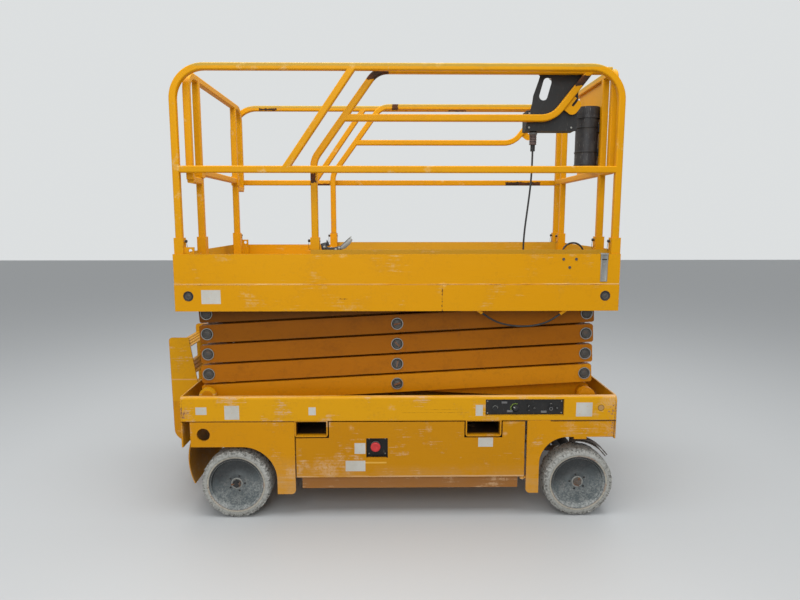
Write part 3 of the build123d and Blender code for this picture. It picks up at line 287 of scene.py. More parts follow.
chassisYellow = dict(
    yellow, colour=(0.6, 0.25, 0.0008), faded=(0.64, 0.285, 0.002), dust=(0.56, 0.35, 0.17),
    rubbed=(0.72, 0.47, 0.26), chips=0.645, edgeWear=0.24, scratches=0.26, lowDust=(0.36, 0.16, 0.75), grime=0.22,
    # above 0.5475 m the paint is lighter: painted highlight on the beam
    top=0.5475, topHighlightAndFading=(0.7, 0.345, 0.004),
    wornSpots=[((1.25, -0.6, 0.58), 0.09, 0.13), ((-1.03, -0.6, 0.42), 0.1, 0.06),
        ((-0.5, -0.58, 0.25), 0.08, 0.06), ((-1.068, -0.6, 0.585), 0.05, 0.14), ((1.23, -0.6, 0.47), 0.08, 0.1),
        ((0.79, -0.6, 0.3), 0.1, 0.05)], rubbedAndHighlightLines=[(0.679, 0.004, 0.5)],
    paleMarks=[((0.045, -0.6, 0.62), 0.04), ((1.22, -0.59, 0.66), 0.09), ((1.2, -0.58, 0.51), 0.11),
        ((-1.055, -0.59, 0.49), 0.05), ((-0.5, -0.59, 0.26), 0.06), ((1.0, -0.59, 0.51), 0.08)],
    # the first two dark lines are painted shadow under the beam's proud bottom edge
    shadowAndGreaseLines=[((0.9, -0.605, 0.5385), (1.27, -0.56, 0.5475)), ((-1.08, -0.605, 0.5405), (-0.46, -0.56, 0.5465)),
        ((0.22, -0.605, 0.6065), (0.4, -0.59, 0.608)), ((0.1, -0.605, 0.59), (0.45, -0.59, 0.5915))],
    boltHeads=[((1.169, -0.6, 0.614), 0.018)],
    # painted shade on the sill below the trays
    paintedShadeAndHighlight=[((-0.48, -0.585, 0.1), (0.79, 0.585, 0.2325), (0.3, 0.125, 0.04))],
    blankLabels=[(-0.996, -0.937, 0.583, 0.625), (-0.843, -0.764, 0.556, 0.633), (-0.396, -0.357, 0.579, 0.623),
        (0.496, 0.535, 0.572, 0.633), (1.035, 1.123, 0.566, 0.644)])
trayYellow = dict(
    yellow, colour=(0.52, 0.215, 0.0008), faded=(0.56, 0.245, 0.002), rubbed=(0.66, 0.42, 0.22), chips=0.655,
    # the light strip under the stop button's recess is painted highlight on its ledge
    scratches=0.12, paintedShadeAndHighlight=[((-0.098, -0.61, 0.307), (0.02, -0.59, 0.3175), (0.74, 0.42, 0.07))],
    lowDust=(0.31, 0.07, 0.3), rubbedAndHighlightLines=[(0.2345, 0.0045, 0.75)],
    blankLabels=[(-0.153, -0.094, 0.362, 0.423), (-0.202, -0.095, 0.264, 0.324), (0.513, 0.593, 0.399, 0.451)],
    wornSpots=[((-0.45, -0.58, 0.5), 0.09, 0.08), ((0.42, -0.6, 0.336), 0.03, 0.06)],
    paleMarks=[((0.42, -0.6, 0.336), 0.022), ((-0.3, -0.6, 0.28), 0.13), ((0.69, -0.6, 0.535), 0.05),
        ((0.66, -0.6, 0.47), 0.025), ((-0.17, -0.6, 0.51), 0.03), ((0.25, -0.6, 0.5), 0.03)])
pocketYellow = dict(
    # the inside of the pockets gets painted shade, darker with depth
    chassisYellow, inner=(0.59, 0.035, (0.03, 0.016, 0.008)), edgeWear=0.4, blankLabels=[], rubbedAndHighlightLines=[],
    shadowAndGreaseLines=[], paintedShadeAndHighlight=[])
paintPlates = wornPaint("yellowPlatePaint", plateYellow)
paintRails = wornPaint("yellowRailPaint", railYellow)
paintInnerRails = wornPaint("yellowInnerRailPaint", innerRailYellow)
paintChassis = wornPaint("yellowChassisPaint", chassisYellow)
paintTrays = wornPaint("yellowTrayPaint", trayYellow)
paintPockets = wornPaint("yellowPocketPaint", pocketYellow)


# colour per level of arms, darker upwards: painted shade under the platform, with greasier paint
armShadeAndGreaseTones = {1: (0.56, 0.205), 2: (0.41, 0.13), 3: (0.34, 0.104), 4: (0.28, 0.085), 5: (0.16, 0.05)}


def shadeAndGreaseArmPaint(level):  # the arms get darker towards the platform: greasier, and painted shade from the platform above
    red, green = armShadeAndGreaseTones[level]
    return wornPaint("yellowArmShadeAndGreasePaint%d" % level,
                     dict(yellow, colour=(red, green, 0.001), faded=(red * 1.08, green * 1.16, 0.002), grime=0.26,
                          dirt=(red * 0.34, green * 0.32, 0.003), chips=0.69, gloss=0.4, scuffs=0.03, scratches=0.05,
                          wornSpots=[((0.36, -0.503, 0.955), 0.03, 0.09)]))


shadeAndGreaseArmPaints = {level: shadeAndGreaseArmPaint(level) for level in range(1, 6)}
darkSteel = plainMetal(
    "oiledSteel",
    {"colour": (0.05, 0.047, 0.043), "other": (0.11, 0.1, 0.09), "grain": (1, 6, 1), "shine": (0.4, 0.38, 0.35),
        "edgeShine": 0.4, "rust": (0.2, 0.08, 0.03), "rustDark": (0.07, 0.03, 0.015), "rustAt": 0.57, "gloss": 0.42,
        "metal": 0.6})
brightSteel = plainMetal(
    "groundSteel",
    {"colour": (0.52, 0.52, 0.51), "other": (0.62, 0.62, 0.61), "grain": (1, 30, 30), "shine": (0.8, 0.8, 0.8),
        "edgeShine": 0.3, "rust": (0.25, 0.12, 0.06), "rustDark": (0.1, 0.06, 0.04), "rustAt": 0.78, "gloss": 0.22,
        "metal": 0.95})
zincSteel = plainMetal(
    "zincSteel",
    {"colour": (0.34, 0.34, 0.32), "other": (0.2, 0.2, 0.185), "grain": (4, 4, 4), "shine": (0.7, 0.7, 0.66),
        "edgeShine": 0.5, "rust": (0.24, 0.1, 0.04), "rustDark": (0.09, 0.045, 0.02), "rustAt": 0.64, "gloss": 0.42,
        "metal": 0.6})
rustySteel = plainMetal(
    "rustySteel",
    {"colour": (0.16, 0.1, 0.07), "other": (0.22, 0.15, 0.11), "grain": (3, 3, 3), "shine": (0.4, 0.36, 0.3),
        "edgeShine": 0.25, "rust": (0.3, 0.12, 0.045), "rustDark": (0.1, 0.04, 0.02), "rustAt": 0.42, "gloss": 0.55,
        "metal": 0.4})
blackPaint = plainMetal(
    "blackEnamel",
    {"colour": (0.008, 0.008, 0.009), "other": (0.018, 0.018, 0.018), "grain": (2, 2, 2), "shine": (0.2, 0.19, 0.18),
        "edgeShine": 0.5, "rust": (0.1, 0.1, 0.095), "rustDark": (0.05, 0.045, 0.04), "rustAt": 0.64, "gloss": 0.42,
        "metal": 0.0})
mudSteel = plainMetal(
    "muddySteel",
    {"colour": (0.085, 0.07, 0.058), "other": (0.16, 0.135, 0.115), "grain": (3, 3, 3), "shine": (0.42, 0.36, 0.3),
        "edgeShine": 0.5, "rust": (0.21, 0.11, 0.06), "rustDark": (0.06, 0.04, 0.03), "rustAt": 0.5, "gloss": 0.6,
        "metal": 0.25})
black = {
    "colour": (0.01, 0.01, 0.011), "dust": 0.3, "dustColour": (0.07, 0.068, 0.064), "scratch": (0.16, 0.15, 0.14),
    "scratches": 0.3, "gloss": 0.5, "pebble": 900, "depth": 0.3}
blackPlastic = mouldedPlastic("blackMouldedPlastic", black)
panelBlack = mouldedPlastic(
    "panelBlack", dict(black, colour=(0.004, 0.004, 0.0042), dust=0.1, scratches=0.5, gloss=0.6))
tubePlastic = mouldedPlastic(
    "scuffedTubePlastic",
    dict(black, colour=(0.02, 0.02, 0.023), scratches=0.8, dust=0.5, scratch=(0.3, 0.3, 0.29)))
redPlastic = mouldedPlastic(
    "redButtonPlastic",
    dict(black, colour=(0.55, 0.022, 0.026), gloss=0.38, dustColour=(0.5, 0.1, 0.08), scratch=(0.6, 0.2, 0.17),
        pebble=500, depth=0.1))
greenPlastic = mouldedPlastic(
    "greenMarks",
    dict(black, colour=(0.42, 0.62, 0.06), gloss=0.4, dustColour=(0.3, 0.4, 0.12), pebble=500, depth=0.1))
greyPlastic = mouldedPlastic(
    "greyPlastic",
    dict(black, colour=(0.16, 0.16, 0.16), gloss=0.4, dustColour=(0.3, 0.29, 0.27), pebble=600, depth=0.2))
bootPlastic = mouldedPlastic(
    "reddishBootRubber",
    dict(black, colour=(0.135, 0.085, 0.075), gloss=0.6, dustColour=(0.27, 0.21, 0.19), dust=0.7, pebble=600,
        depth=0.3))
palePaint = mouldedPlastic(
    "palePrint",
    dict(black, colour=(0.62, 0.62, 0.58), gloss=0.5, dustColour=(0.4, 0.38, 0.33), pebble=500, depth=0.05))


def rimPaint(name, s, centre):  # blue-grey, dusty below, darker above with grime and painted shade from the fender, with rust where the tyre sits
    r = Recipe(name)
    x, y, z = r.axes(r.stretch((1, 1, 1), move=(-centre[0], 0, -centre[1])))
    reach = (x * x + z * z) ** 0.5
    cloud = r.noise(20, 5, 0.65)
    fine = r.noise(85, 6, 0.7)
    speck = r.noise(190, 5, 0.7)
    turn = x * s["turn"][0] + z * s["turn"][1]
    # the darker upper side: painted shade under the fender, with grime
    upperShadeAndGrime = ((turn + 0.03) / 0.1 + (cloud - 0.5) * 1.4).clamped()
    lower = ((0.035 - turn) / 0.09 + (cloud - 0.5) * 1.2).clamped()
    dust = (fine * 0.45 + speck * 0.3 + cloud * 0.25).lift(0.46, 6) * (lower * 0.75 + 0.06)
    colour = r.mix(upperShadeAndGrime, s["colour"], s["dark"])
    colour = r.mix(dust, colour, s["dust"])
    lip = ((reach - 0.124) / 0.014).clamped() * lower * (fine * 0.6 + cloud * 0.4).lift(0.42, 5)
    colour = r.mix(lip * 0.75, colour, s["dust"])
    rust = ((reach - 0.145) / 0.002).clamped() * (cloud * 0.5 + fine * 0.5).lift(0.44, 8) * (lower * 0.8 + 0.2)
    hubRust = ((0.03 - reach) / 0.008).clamped() * fine.lift(0.4, 6)
    rust = rust.most(hubRust).most((cloud * 0.6 + speck * 0.4).lift(0.62, 14))
    colour = r.mix(rust, colour, r.mix(fine, s["rust"], s["rustDark"]))
    # pale thin edges: painted highlight
    edge = r.edges(0.003)
    colour = r.mix((edge * fine * 1.1).clamped(), colour, s["dust"])
    r.bump(fine * 0.4 + dust * 0.4 + rust * 0.4, 0.5, 0.001)
    return r.finish(colour, 0.48 + dust * 0.3 + rust * 0.2, 0.1 - dust * 0.1)


rim = {
    "colour": (0.09, 0.108, 0.113), "dark": (0.02, 0.023, 0.025), "dust": (0.4, 0.41, 0.39),
    "rust": (0.27, 0.085, 0.04), "rustDark": (0.1, 0.045, 0.03), "turn": (-0.25, 0.97)}


def tyreRubber(name, s):
    r = Recipe(name)
    fromHub = r.add("ShaderNodeAttribute", {"attribute_name": "fromHub"}, out="Fac")
    spokes = r.add("ShaderNodeAttribute", {"attribute_name": "spokes"}, out="Vector")
    cloud = r.noise(9, 6, 0.65)
    fine = r.noise(85, 7, 0.7)
    cuts = r.noise(17, 5, 0.75, r.stretch((1, 0.25, 1), place=spokes), 0.4)
    pits = r.cells(120)
    edge = r.edges(0.004)
    colour = r.mix(cloud.lift(0.4, 3) * 0.7, s["clean"], s["pale"])
    dirty = (fine * 0.4 + cuts * 0.6).lift(0.51, 9)
    colour = r.mix(dirty * 0.22, colour, s["dirt"])
    outer = ((fromHub - 0.166) / 0.008).clamped()
    colour = r.mix(outer * cuts.lift(0.52, 14) * 0.8, colour, s["dark"])
    colour = r.mix(outer * (1 - cuts).lift(0.52, 10) * 0.5, colour, s["pale"])
    inner = ((0.001 - (fromHub - 0.1585).size()) / 0.0008).clamped()
    colour = r.mix(inner * 0.55, colour, s["dark"])
    bead = ((0.1575 - fromHub) / 0.002).clamped()
    colour = r.mix(bead * 0.5, colour, s["bead"])
    rust = bead * (cloud * 0.7 + fine * 0.3).lift(0.53, 9)
    colour = r.mix(rust * 0.8, colour, s["rust"])
    colour = r.mix((pits * fine).lift(0.3, 9) * 0.3, colour, s["dark"])
    colour = r.mix((edge * fine).lift(0.25, 4) * 0.5, colour, s["pale"])
    r.bump(fine * 0.35 + cuts * outer * 0.9 - inner * 0.6 - pits * 0.1, 0.6, 0.0016)
    return r.finish(colour, 0.74 + fine * 0.2, 0.0, Specular_IOR_Level=0.25)


tyreGrey = tyreRubber(
    "wornGreyTyre",
    {"clean": (0.33, 0.33, 0.305), "pale": (0.5, 0.5, 0.47), "dirt": (0.19, 0.175, 0.15),
        "dark": (0.055, 0.05, 0.045), "rust": (0.2, 0.07, 0.03), "bead": (0.5, 0.44, 0.33)})


def cordSheath(name):
    r = Recipe(name)
    dust = r.noise(40, 4)
    fine = r.noise(300, 2)
    colour = r.mix(dust.lift(0.5, 4) * 0.5, (0.01, 0.01, 0.011), (0.07, 0.065, 0.06))
    r.bump(fine, 0.2, 0.0004)
    return r.finish(colour, 0.42 + dust * 0.2)


cordBlack = cordSheath("blackCordSheath")


def chequerPlate(name, s):
    r = Recipe(name)
    x, y, z = r.axes(r.stretch((s["pitch"], s["pitch"], 1), (0, 0, pi / 4)))
    bars = []
    for shift, along, across in ((0.25, x, y), (0.75, y, x)):
        u = (along + shift).sum("FRACT", along + shift) - 0.5
        v = (across + shift).sum("FRACT", across + shift) - 0.5
        bars.append((1 - (u * u) * 7.5 - (v * v) * 70).clamped())
    raised = bars[0].most(bars[1])
    cloud = r.noise(5, 6, 0.6)
    fine = r.noise(60, 6, 0.65)
    worn = (raised * 0.35 + fine * 0.4 + cloud * 0.4).lift(s["wornAt"], 8)
    colour = r.mix(cloud.lift(0.4, 3) * 0.5, s["colour"], s["dirt"])
    colour = r.mix(worn, colour, s["bare"])
    r.bump(raised.lift(0, 2.2) + fine * 0.12, 0.8, 0.0025)
    return r.finish(colour, 0.5 + cloud * 0.2 - worn * 0.1, worn * 0.5)


deckYellow = chequerPlate(
    "chequerDeck",
    {"pitch": 22, "colour": (0.6, 0.29, 0.02), "dirt": (0.17, 0.12, 0.08), "bare": (0.3, 0.27, 0.24),
        "wornAt": 0.55})

finishes = {
    "side_beams": paintChassis, "fenders": paintChassis, "chassis_core": paintChassis, "end_plates": paintChassis,
    "fork_pockets": paintPockets, "ladder": paintChassis, "tray_left": paintTrays, "tray_right": paintTrays,
    "pothole_guard_left": paintChassis, "pothole_guard_right": paintChassis, "base_shaft": paintChassis,
    "axles": blackPaint, "tie_rod": darkSteel, "knuckle_left": mudSteel, "knuckle_right": mudSteel,
    "ground_controls": panelBlack, "batteries": blackPlastic, "power_unit": darkSteel, "emergency_stop": panelBlack,
    "cylinder_barrel": blackPaint, "cylinder_rod": brightSteel, "platform_frame": paintPlates,
    "toe_boards": paintPlates, "deck": deckYellow, "extension_deck": paintPlates, "side_rails": paintRails,
    "rear_rail": paintRails, "entry_bar": paintRails, "extension_rails": paintInnerRails,
    "front_rail": paintInnerRails, "control_box": panelBlack, "document_tube": tubePlastic, "lock_pedal": darkSteel,
    "cord_plug": blackPlastic, "control_cord": cordBlack, "harness_cord": cordBlack}
wheels = {"front_left": (1.064, 1), "front_right": (1.064, -1), "rear_left": (-0.796, 1), "rear_right": (-0.796, -1)}
wheelRadius = 0.19
for name, (x, side) in wheels.items():
    finishes["rim_" + name] = rimPaint("bluegreyRim." + name, rim, (x, wheelRadius))
for name, node in nodes.items():
    if name.startswith(("outer_", "inner_", "cross_")):
        finishes[name] = shadeAndGreaseArmPaints[int(name[-1])]
    elif name.startswith("tyre_"):
        finishes[name] = tyreGrey
    for slot in node.material_slots:
        slot.material = finishes[name]
print("materials on", len(finishes), "nodes")


# working tools, each used as by hand
def nothingPicked():
    if bpy.context.mode != "OBJECT":
        bpy.ops.object.mode_set(mode="OBJECT")
    bpy.ops.object.select_all(action="DESELECT")


def onlyPicked(pieces):
    nothingPicked()
    for piece in pieces:
        piece.select_set(True)
    bpy.context.view_layer.objects.active = pieces[0]


def openMesh():
    bpy.ops.object.mode_set(mode="EDIT")


def pickAll():
    bpy.ops.mesh.select_all(action="SELECT")


def pickFaces(test):
    bpy.ops.mesh.select_mode(type="FACE")
    bpy.ops.mesh.select_all(action="DESELECT")
    mesh = bmesh.from_edit_mesh(bpy.context.edit_object.data)
    for face in mesh.faces:
        face.select_set(test(face.calc_center_median(), face.normal))
    bmesh.update_edit_mesh(bpy.context.edit_object.data)


def pickPoints(test):
    bpy.ops.mesh.select_mode(type="VERT")
    bpy.ops.mesh.select_all(action="DESELECT")
    mesh = bmesh.from_edit_mesh(bpy.context.edit_object.data)
    for point in mesh.verts:
        point.select_set(test(point.co))
    mesh.select_flush(True)
    bmesh.update_edit_mesh(bpy.context.edit_object.data)


def freezePlace(piece):
    onlyPicked([piece])
    bpy.ops.object.transform_apply(location=True, rotation=True, scale=True)


def rounded(piece, width, angle=35):
    if width:
        onlyPicked([piece])
        bevel = piece.modifiers.new("roundedEdges", "BEVEL")
        bevel.width, bevel.segments, bevel.limit_method = width, 2, "ANGLE"
        bevel.angle_limit = radians(angle)
        bpy.ops.object.modifier_apply(modifier=bevel.name)
    onlyPicked([piece])
    bpy.ops.object.shade_smooth_by_angle(angle=radians(40))


def workTop(steps, way=(0, 0, 1)):  # inset, raise and taper the faces that are picked
    for kind, amount in steps:
        if kind == "inset":
            bpy.ops.mesh.inset(thickness=amount, use_even_offset=True)
        elif kind == "raise":
            bpy.ops.mesh.extrude_region_move(TRANSFORM_OT_translate={"value": Vector(way) * amount})
        elif kind == "taper":
            bpy.ops.transform.resize(value=(amount, amount, 1))


def justAdded(name):
    piece = bpy.context.object
    piece.name = name
    freezePlace(piece)
    return piece


def finished(piece, edge, finish, angle=35):
    rounded(piece, edge, angle=angle)
    piece.data.materials.clear()
    piece.data.materials.append(finish)
    return piece


def turned(name, s, finish):  # a round or many-sided piece that stands on z = 0
    nothingPicked()
    bpy.ops.mesh.primitive_cylinder_add(vertices=s["sides"], radius=s["radius"], depth=s["depth"],
                                        location=(0, 0, s["depth"] / 2))
    piece = justAdded(name)
    openMesh()
    pickFaces(lambda at, normal: normal.z > 0.9)
    workTop(s["steps"])
    return finished(piece, s["edge"], finish)


def slab(name, s, finish):  # a block from corner to corner, worked on the side that looks along "face"
    low, high = Vector(s["low"]), Vector(s["high"])
    nothingPicked()
    bpy.ops.mesh.primitive_cube_add(size=1, location=(low + high) / 2, scale=high - low)
    piece = justAdded(name)
    if "face" in s:
        way = Vector(s["face"])
        openMesh()
        pickFaces(lambda at, normal: normal.dot(way) > 0.9)
        workTop(s["steps"], way)
    return finished(piece, s["edge"], finish)


def seated(piece, place, toward=(0, 0, 1), spin=0.0):  # its z axis along "toward", its foot on "place"
    turn = Vector(toward).to_track_quat("Z", "Y") @ Matrix.Rotation(spin, 3, "Z").to_quaternion()
    piece.rotation_euler = turn.to_euler()
    piece.location = place
    freezePlace(piece)
    return piece


def another(piece):
    onlyPicked([piece])
    bpy.ops.object.duplicate(linked=False)
    return bpy.context.object


def thrownAway(piece):
    onlyPicked([piece])
    bpy.ops.object.delete()


def joined(name, pieces, body):
    onlyPicked(pieces)
    if len(pieces) > 1:
        bpy.ops.object.join()
    piece = bpy.context.object
    piece.name = name
    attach(piece, body)
    return piece


def cordCurve(name, points, radius, smooth, sides):  # round line along a few points
    curve = bpy.data.curves.new(name, "CURVE")
    curve.dimensions = "3D"
    line = curve.splines.new("NURBS")
    line.points.add(len(points) - 1)
    for point, place in zip(line.points, points):
        point.co = (*place, 1)
    line.order_u = 3
    line.use_endpoint_u = True
    line.resolution_u = smooth
    curve.bevel_depth = radius
    curve.bevel_resolution = sides
    curve.use_fill_caps = True
    piece = bpy.data.objects.new(name, curve)
    bpy.context.scene.collection.objects.link(piece)
    return piece


def bent(name, points, radius, finish, sides=2):  # the same as a rod of mesh
    nothingPicked()
    onlyPicked([cordCurve(name, points, radius, 6, sides)])
    bpy.ops.object.convert(target="MESH")
    return finished(bpy.context.object, 0, finish)


right = (0, -1, 0)


# tyres, ragged at the shoulders, each with a float attribute that says how far a point is from the hub
tyre = {
    "outer": 0.19, "inner": 0.1382, "width": 0.13, "shoulder": 0.013, "around": 150, "worn": 0.0012,
    "chipped": 0.011, "across": 0.535, "seat": 0.15, "seatDepth": 0.0045}


def makeTyre(s):
    nothingPicked()
    middle = (s["outer"] + s["inner"]) / 2
    bpy.ops.mesh.primitive_plane_add(size=1, location=(0, 0, 0))
    piece = bpy.context.object
    piece.name = "tyreProfile"
    piece.scale = (s["outer"] - s["inner"], s["width"], 1)
    piece.rotation_euler = (0, -pi / 2, 0)
    piece.location = (0, 0, middle)
    freezePlace(piece)
    openMesh()
    pickPoints(lambda at: at.z > middle)
    bpy.ops.mesh.bevel(offset=s["shoulder"], segments=3, affect="VERTICES")
    pickAll()
    bpy.ops.mesh.delete(type="ONLY_FACE")
    bpy.ops.mesh.select_mode(type="EDGE")
    pickAll()
    bpy.ops.mesh.subdivide(number_cuts=3)
    pickAll()
    bpy.ops.mesh.spin(steps=s["around"], angle=2 * pi, center=(0, 0, 0), axis=(0, 1, 0))
    pickAll()
    bpy.ops.mesh.remove_doubles(threshold=0.00005)
    bpy.ops.mesh.normals_make_consistent(inside=False)
    bpy.ops.object.mode_set(mode="OBJECT")
    for point in piece.data.vertices:  # the walls step in where the rim's lip lies on them
        if (point.co.x ** 2 + point.co.z ** 2) ** 0.5 < s["seat"] and abs(point.co.y) > s["width"] / 2 - 0.001:
            point.co.y *= 1 - 2 * s["seatDepth"] / s["width"]
    tread = piece.vertex_groups.new(name="tread")
    shoulder = piece.vertex_groups.new(name="shoulder")
    for point in piece.data.vertices:
        reach = (point.co.x ** 2 + point.co.z ** 2) ** 0.5
        tread.add([point.index], min(1, max(0, (reach - s["inner"] - 0.008) / 0.02)), "REPLACE")
        corner = min(1, max(0, (reach - s["outer"] + 0.022) / 0.012)) * min(1, abs(point.co.y) / 0.055) ** 4
        shoulder.add([point.index], corner, "REPLACE")
    for name, size, depth, group, contrast in (("rubbed", 0.03, s["worn"], "tread", 1.2),
                                               ("chips", 0.01, s["chipped"], "shoulder", 3.5)):
        grain = bpy.data.textures.new(name, "CLOUDS")
        grain.noise_scale, grain.noise_depth, grain.contrast = size, 4, contrast
        grain.use_clamp = True
        worn = piece.modifiers.new(name, "DISPLACE")
        worn.texture, worn.texture_coords, worn.vertex_group = grain, "LOCAL", group
        worn.strength, worn.mid_level = -depth, 0
        bpy.ops.object.modifier_apply(modifier=worn.name)
    fromHub = piece.data.attributes.new("fromHub", "FLOAT", "POINT")
    spokes = piece.data.attributes.new("spokes", "FLOAT_VECTOR", "POINT")  # the same along each spoke
    for i, point in enumerate(piece.data.vertices):
        reach = (point.co.x ** 2 + point.co.z ** 2) ** 0.5
        fromHub.data[i].value = reach
        spokes.data[i].vector = (point.co.x / reach, point.co.y * 9 + reach * 3, point.co.z / reach)
    return finished(piece, 0, tyreGrey)


# dished rims: a lip over the tyre's seat, a shallow dish, the hub with its stud holes and a hollow back
dishedRim = {
    "lip": 0.1486, "lipThick": 0.0036, "front": 0.0634, "barrel": 0.138, "back": -0.06, "sides": 96,
    "edge": 0.0007,
    "front steps": [("inset", 0.002), ("raise", -0.0034), ("taper", 0.935), ("raise", -0.007), ("taper", 0.985),
        ("raise", -0.0095), ("taper", 0.965), ("raise", -0.0014), ("taper", 0.94), ("inset", 0.062),
        ("taper", 0.95), ("raise", 0.0014), ("taper", 0.96), ("inset", 0.04), ("raise", -0.0004)],
    "back steps": [("inset", 0.005), ("raise", 0.05), ("taper", 0.95), ("raise", 0.035), ("taper", 0.7)],
    "stud": {"radius": 0.0062, "depth": 0.001, "sides": 20, "edge": 0.0003,
        "steps": [("inset", 0.0012), ("raise", -0.0006)]}, "studs": 5, "studRing": 0.043}


def makeRim(s, finish):  # stands on its lip's foot with its face up, as a wheel lying down
    nothingPicked()
    foot = s["front"] - s["lipThick"]
    bpy.ops.mesh.primitive_cylinder_add(vertices=s["sides"], radius=s["lip"], depth=s["lipThick"],
                                        location=(0, 0, foot + s["lipThick"] / 2))
    piece = justAdded("dishedRim")
    openMesh()
    pickFaces(lambda at, normal: normal.z < -0.9)
    workTop([("inset", s["lip"] - s["barrel"]), ("raise", s["back"] - foot)])
    workTop(s["back steps"])
    pickFaces(lambda at, normal: normal.z > 0.9 and at.z > foot)
    workTop(s["front steps"])
    parts = [finished(piece, s["edge"], finish)]
    level = max(point.co.z for point in piece.data.vertices if (point.co.x ** 2 + point.co.y ** 2) ** 0.5 < 0.05)
    for i in range(s["studs"]):
        turn = 2 * pi * (i + 0.3) / s["studs"]
        place = (s["studRing"] * cos(turn), s["studRing"] * sin(turn), level - 0.0002)
        parts.append(seated(turned("studHole", s["stud"], blackPlastic), place))
    return parts


for name, (x, side) in wheels.items():
    piece = joined("wornRim." + name, makeRim(dishedRim, finishes["rim_" + name]), "wheel_" + name)
    seated(piece, (x, side * tyre["across"], tyre["outer"]), (0, side, 0), 0.4 + x)
    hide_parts("rim_" + name)
print("rims")
firstTyre = makeTyre(tyre)
for name, (x, side) in wheels.items():
    piece = another(firstTyre)
    piece.rotation_euler = (0, 0.9 * x, 0 if side < 0 else pi)
    piece.location = (x, side * tyre["across"], tyre["outer"])
    freezePlace(piece)
    piece.name = "wornTyre." + name
    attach(piece, "wheel_" + name)
    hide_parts("tyre_" + name)
thrownAway(firstTyre)
print("tyres")


# washer and split pin on each hub
hub = {
    "face": 0.5762, "pin": 0.0022,
    "washer": {"radius": 0.031, "depth": 0.004, "sides": 40, "edge": 0.0008,
        "steps": [("inset", 0.003), ("raise", 0.0008), ("inset", 0.003), ("raise", -0.001)]},
    "leg": [(-0.019, -0.015, 0.001), (0.0, -0.0152, 0.001), (0.015, -0.015, 0.001), (0.02, -0.014, -0.003),
        (0.017, -0.012, -0.012), (0.012, -0.011, -0.019)],
    "tail": [(0.014, -0.0152, 0.003), (0.021, -0.015, 0.008), (0.022, -0.013, 0.014)],
    "head": {"radius": 0.0055, "depth": 0.003, "sides": 20, "edge": 0.0012,
        "steps": [("inset", 0.0022), ("raise", -0.0018)]}, "headAt": (-0.0235, -0.015, 0.001)}


def makeHub(s):
    return [seated(turned("hubWasher", s["washer"], zincSteel), (0, -0.0003, 0), right),
            bent("splitPin", s["leg"], s["pin"], rustySteel), bent("splitPinTail", s["tail"], s["pin"], rustySteel),
            seated(turned("splitPinHead", s["head"], rustySteel), s["headAt"], right)]


for name, (x, side) in wheels.items():
    parts = makeHub(hub)
    piece = joined("hubFittings." + name, parts, "wheel_" + name)
    piece.rotation_euler = (0, 0.7 + x, 0 if side < 0 else pi)
    piece.location = (x, side * hub["face"], tyre["outer"])
    freezePlace(piece)
print("hubs")


# pin caps on the scissor arms: a ring, a domed head and its lock slot
pinCap = {
    "ring": {"radius": 0.0325, "depth": 0.0062, "sides": 40, "edge": 0.001,
        "steps": [("inset", 0.004), ("raise", -0.001)]},
    "head": {"radius": 0.0245, "depth": 0.0085, "sides": 36, "edge": 0.0012,
        "steps": [("inset", 0.0045), ("raise", -0.003), ("inset", 0.006), ("raise", 0.0022)]},
    "slot": {"low": (-0.018, -0.004, 0), "high": (0.018, 0.004, 0.0125), "face": (0, 0, 1),
        "steps": [("inset", 0.0012), ("raise", -0.001)], "edge": 0.0006}}
pinPlaces = {joint["name"]: Vector(joint["pos_m"]) for joint in frame["joints"] if joint["type"] == "hinge"}
armFace = 0.4998
levelRise = 0.1107
lowPin = pinPlaces["lift"]
farPin = pinPlaces["right_pin_1"]


def makePinCap(place, side, turn, middle):
    ring = turned("capRing", pinCap["ring"], zincSteel)
    head = turned("capHead", pinCap["head"], darkSteel)
    parts = [ring, head]
    if middle:
        parts.append(slab("capSlot", pinCap["slot"], rustySteel))
    for part in parts:
        seated(part, (place.x, side * armFace, place.z), (0, side, 0), turn)
    return parts


for level in range(1, 6):
    lift = Vector((0, 0, levelRise * (level - 1)))
    places = [(farPin + lift, False)] if level < 5 else []
    places.append(((lowPin + farPin) / 2 + lift, True))
    if level > 1:
        places.append((lowPin + lift, False))
    parts = []
    for side in (-1, 1):
        for i, (place, middle) in enumerate(places):
            parts += makePinCap(place, side, 0.8 + 1.7 * i + level, middle)
    joined("pinCaps.%d" % level, parts, "outer_%d" % level)
print("pin caps")


# bolts in the skirt's round recesses, small bolts and the seam's weld beads
skirt = {
    "face": 0.5968, "recess": [-1.004, 1.163], "height": 1.219,
    "ring": {"radius": 0.0262, "depth": 0.0012, "sides": 48, "edge": 0.0004,
        "steps": [("inset", 0.005), ("raise", -0.0006)]},
    "head": {"radius": 0.0165, "depth": 0.0018, "sides": 32, "edge": 0.0004,
        "steps": [("inset", 0.003), ("raise", -0.0008), ("inset", 0.0045), ("raise", 0.0012)]},
    "button": {"radius": 0.0075, "depth": 0.0024, "sides": 20, "edge": 0.0008,
        "steps": [("inset", 0.003), ("raise", -0.0012)]}, "small": [(0.939, 1.41), (1.005, 1.41), (0.972, 1.367)],
    "edgeFace": 0.5972, "edgeBolts": [(1.117, 1.248), (1.22, 1.155)]}
parts = []
for side in (-1, 1):
    way = (0, side, 0)
    for x in skirt["recess"]:
        place = (x, side * skirt["face"], skirt["height"])
        parts.append(seated(turned("recessRing", skirt["ring"], blackPlastic), place, way))
        parts.append(seated(turned("recessBolt", skirt["head"], darkSteel), place, way, x))
    for x, z in skirt["small"]:
        place = (x, side * skirt["face"], z)
        parts.append(seated(turned("boardRivet", skirt["button"], darkSteel), place, way))
    for x, z in skirt["edgeBolts"]:
        place = (x, side * skirt["edgeFace"], z)
        parts.append(seated(turned("edgeRivet", skirt["button"], zincSteel), place, way))
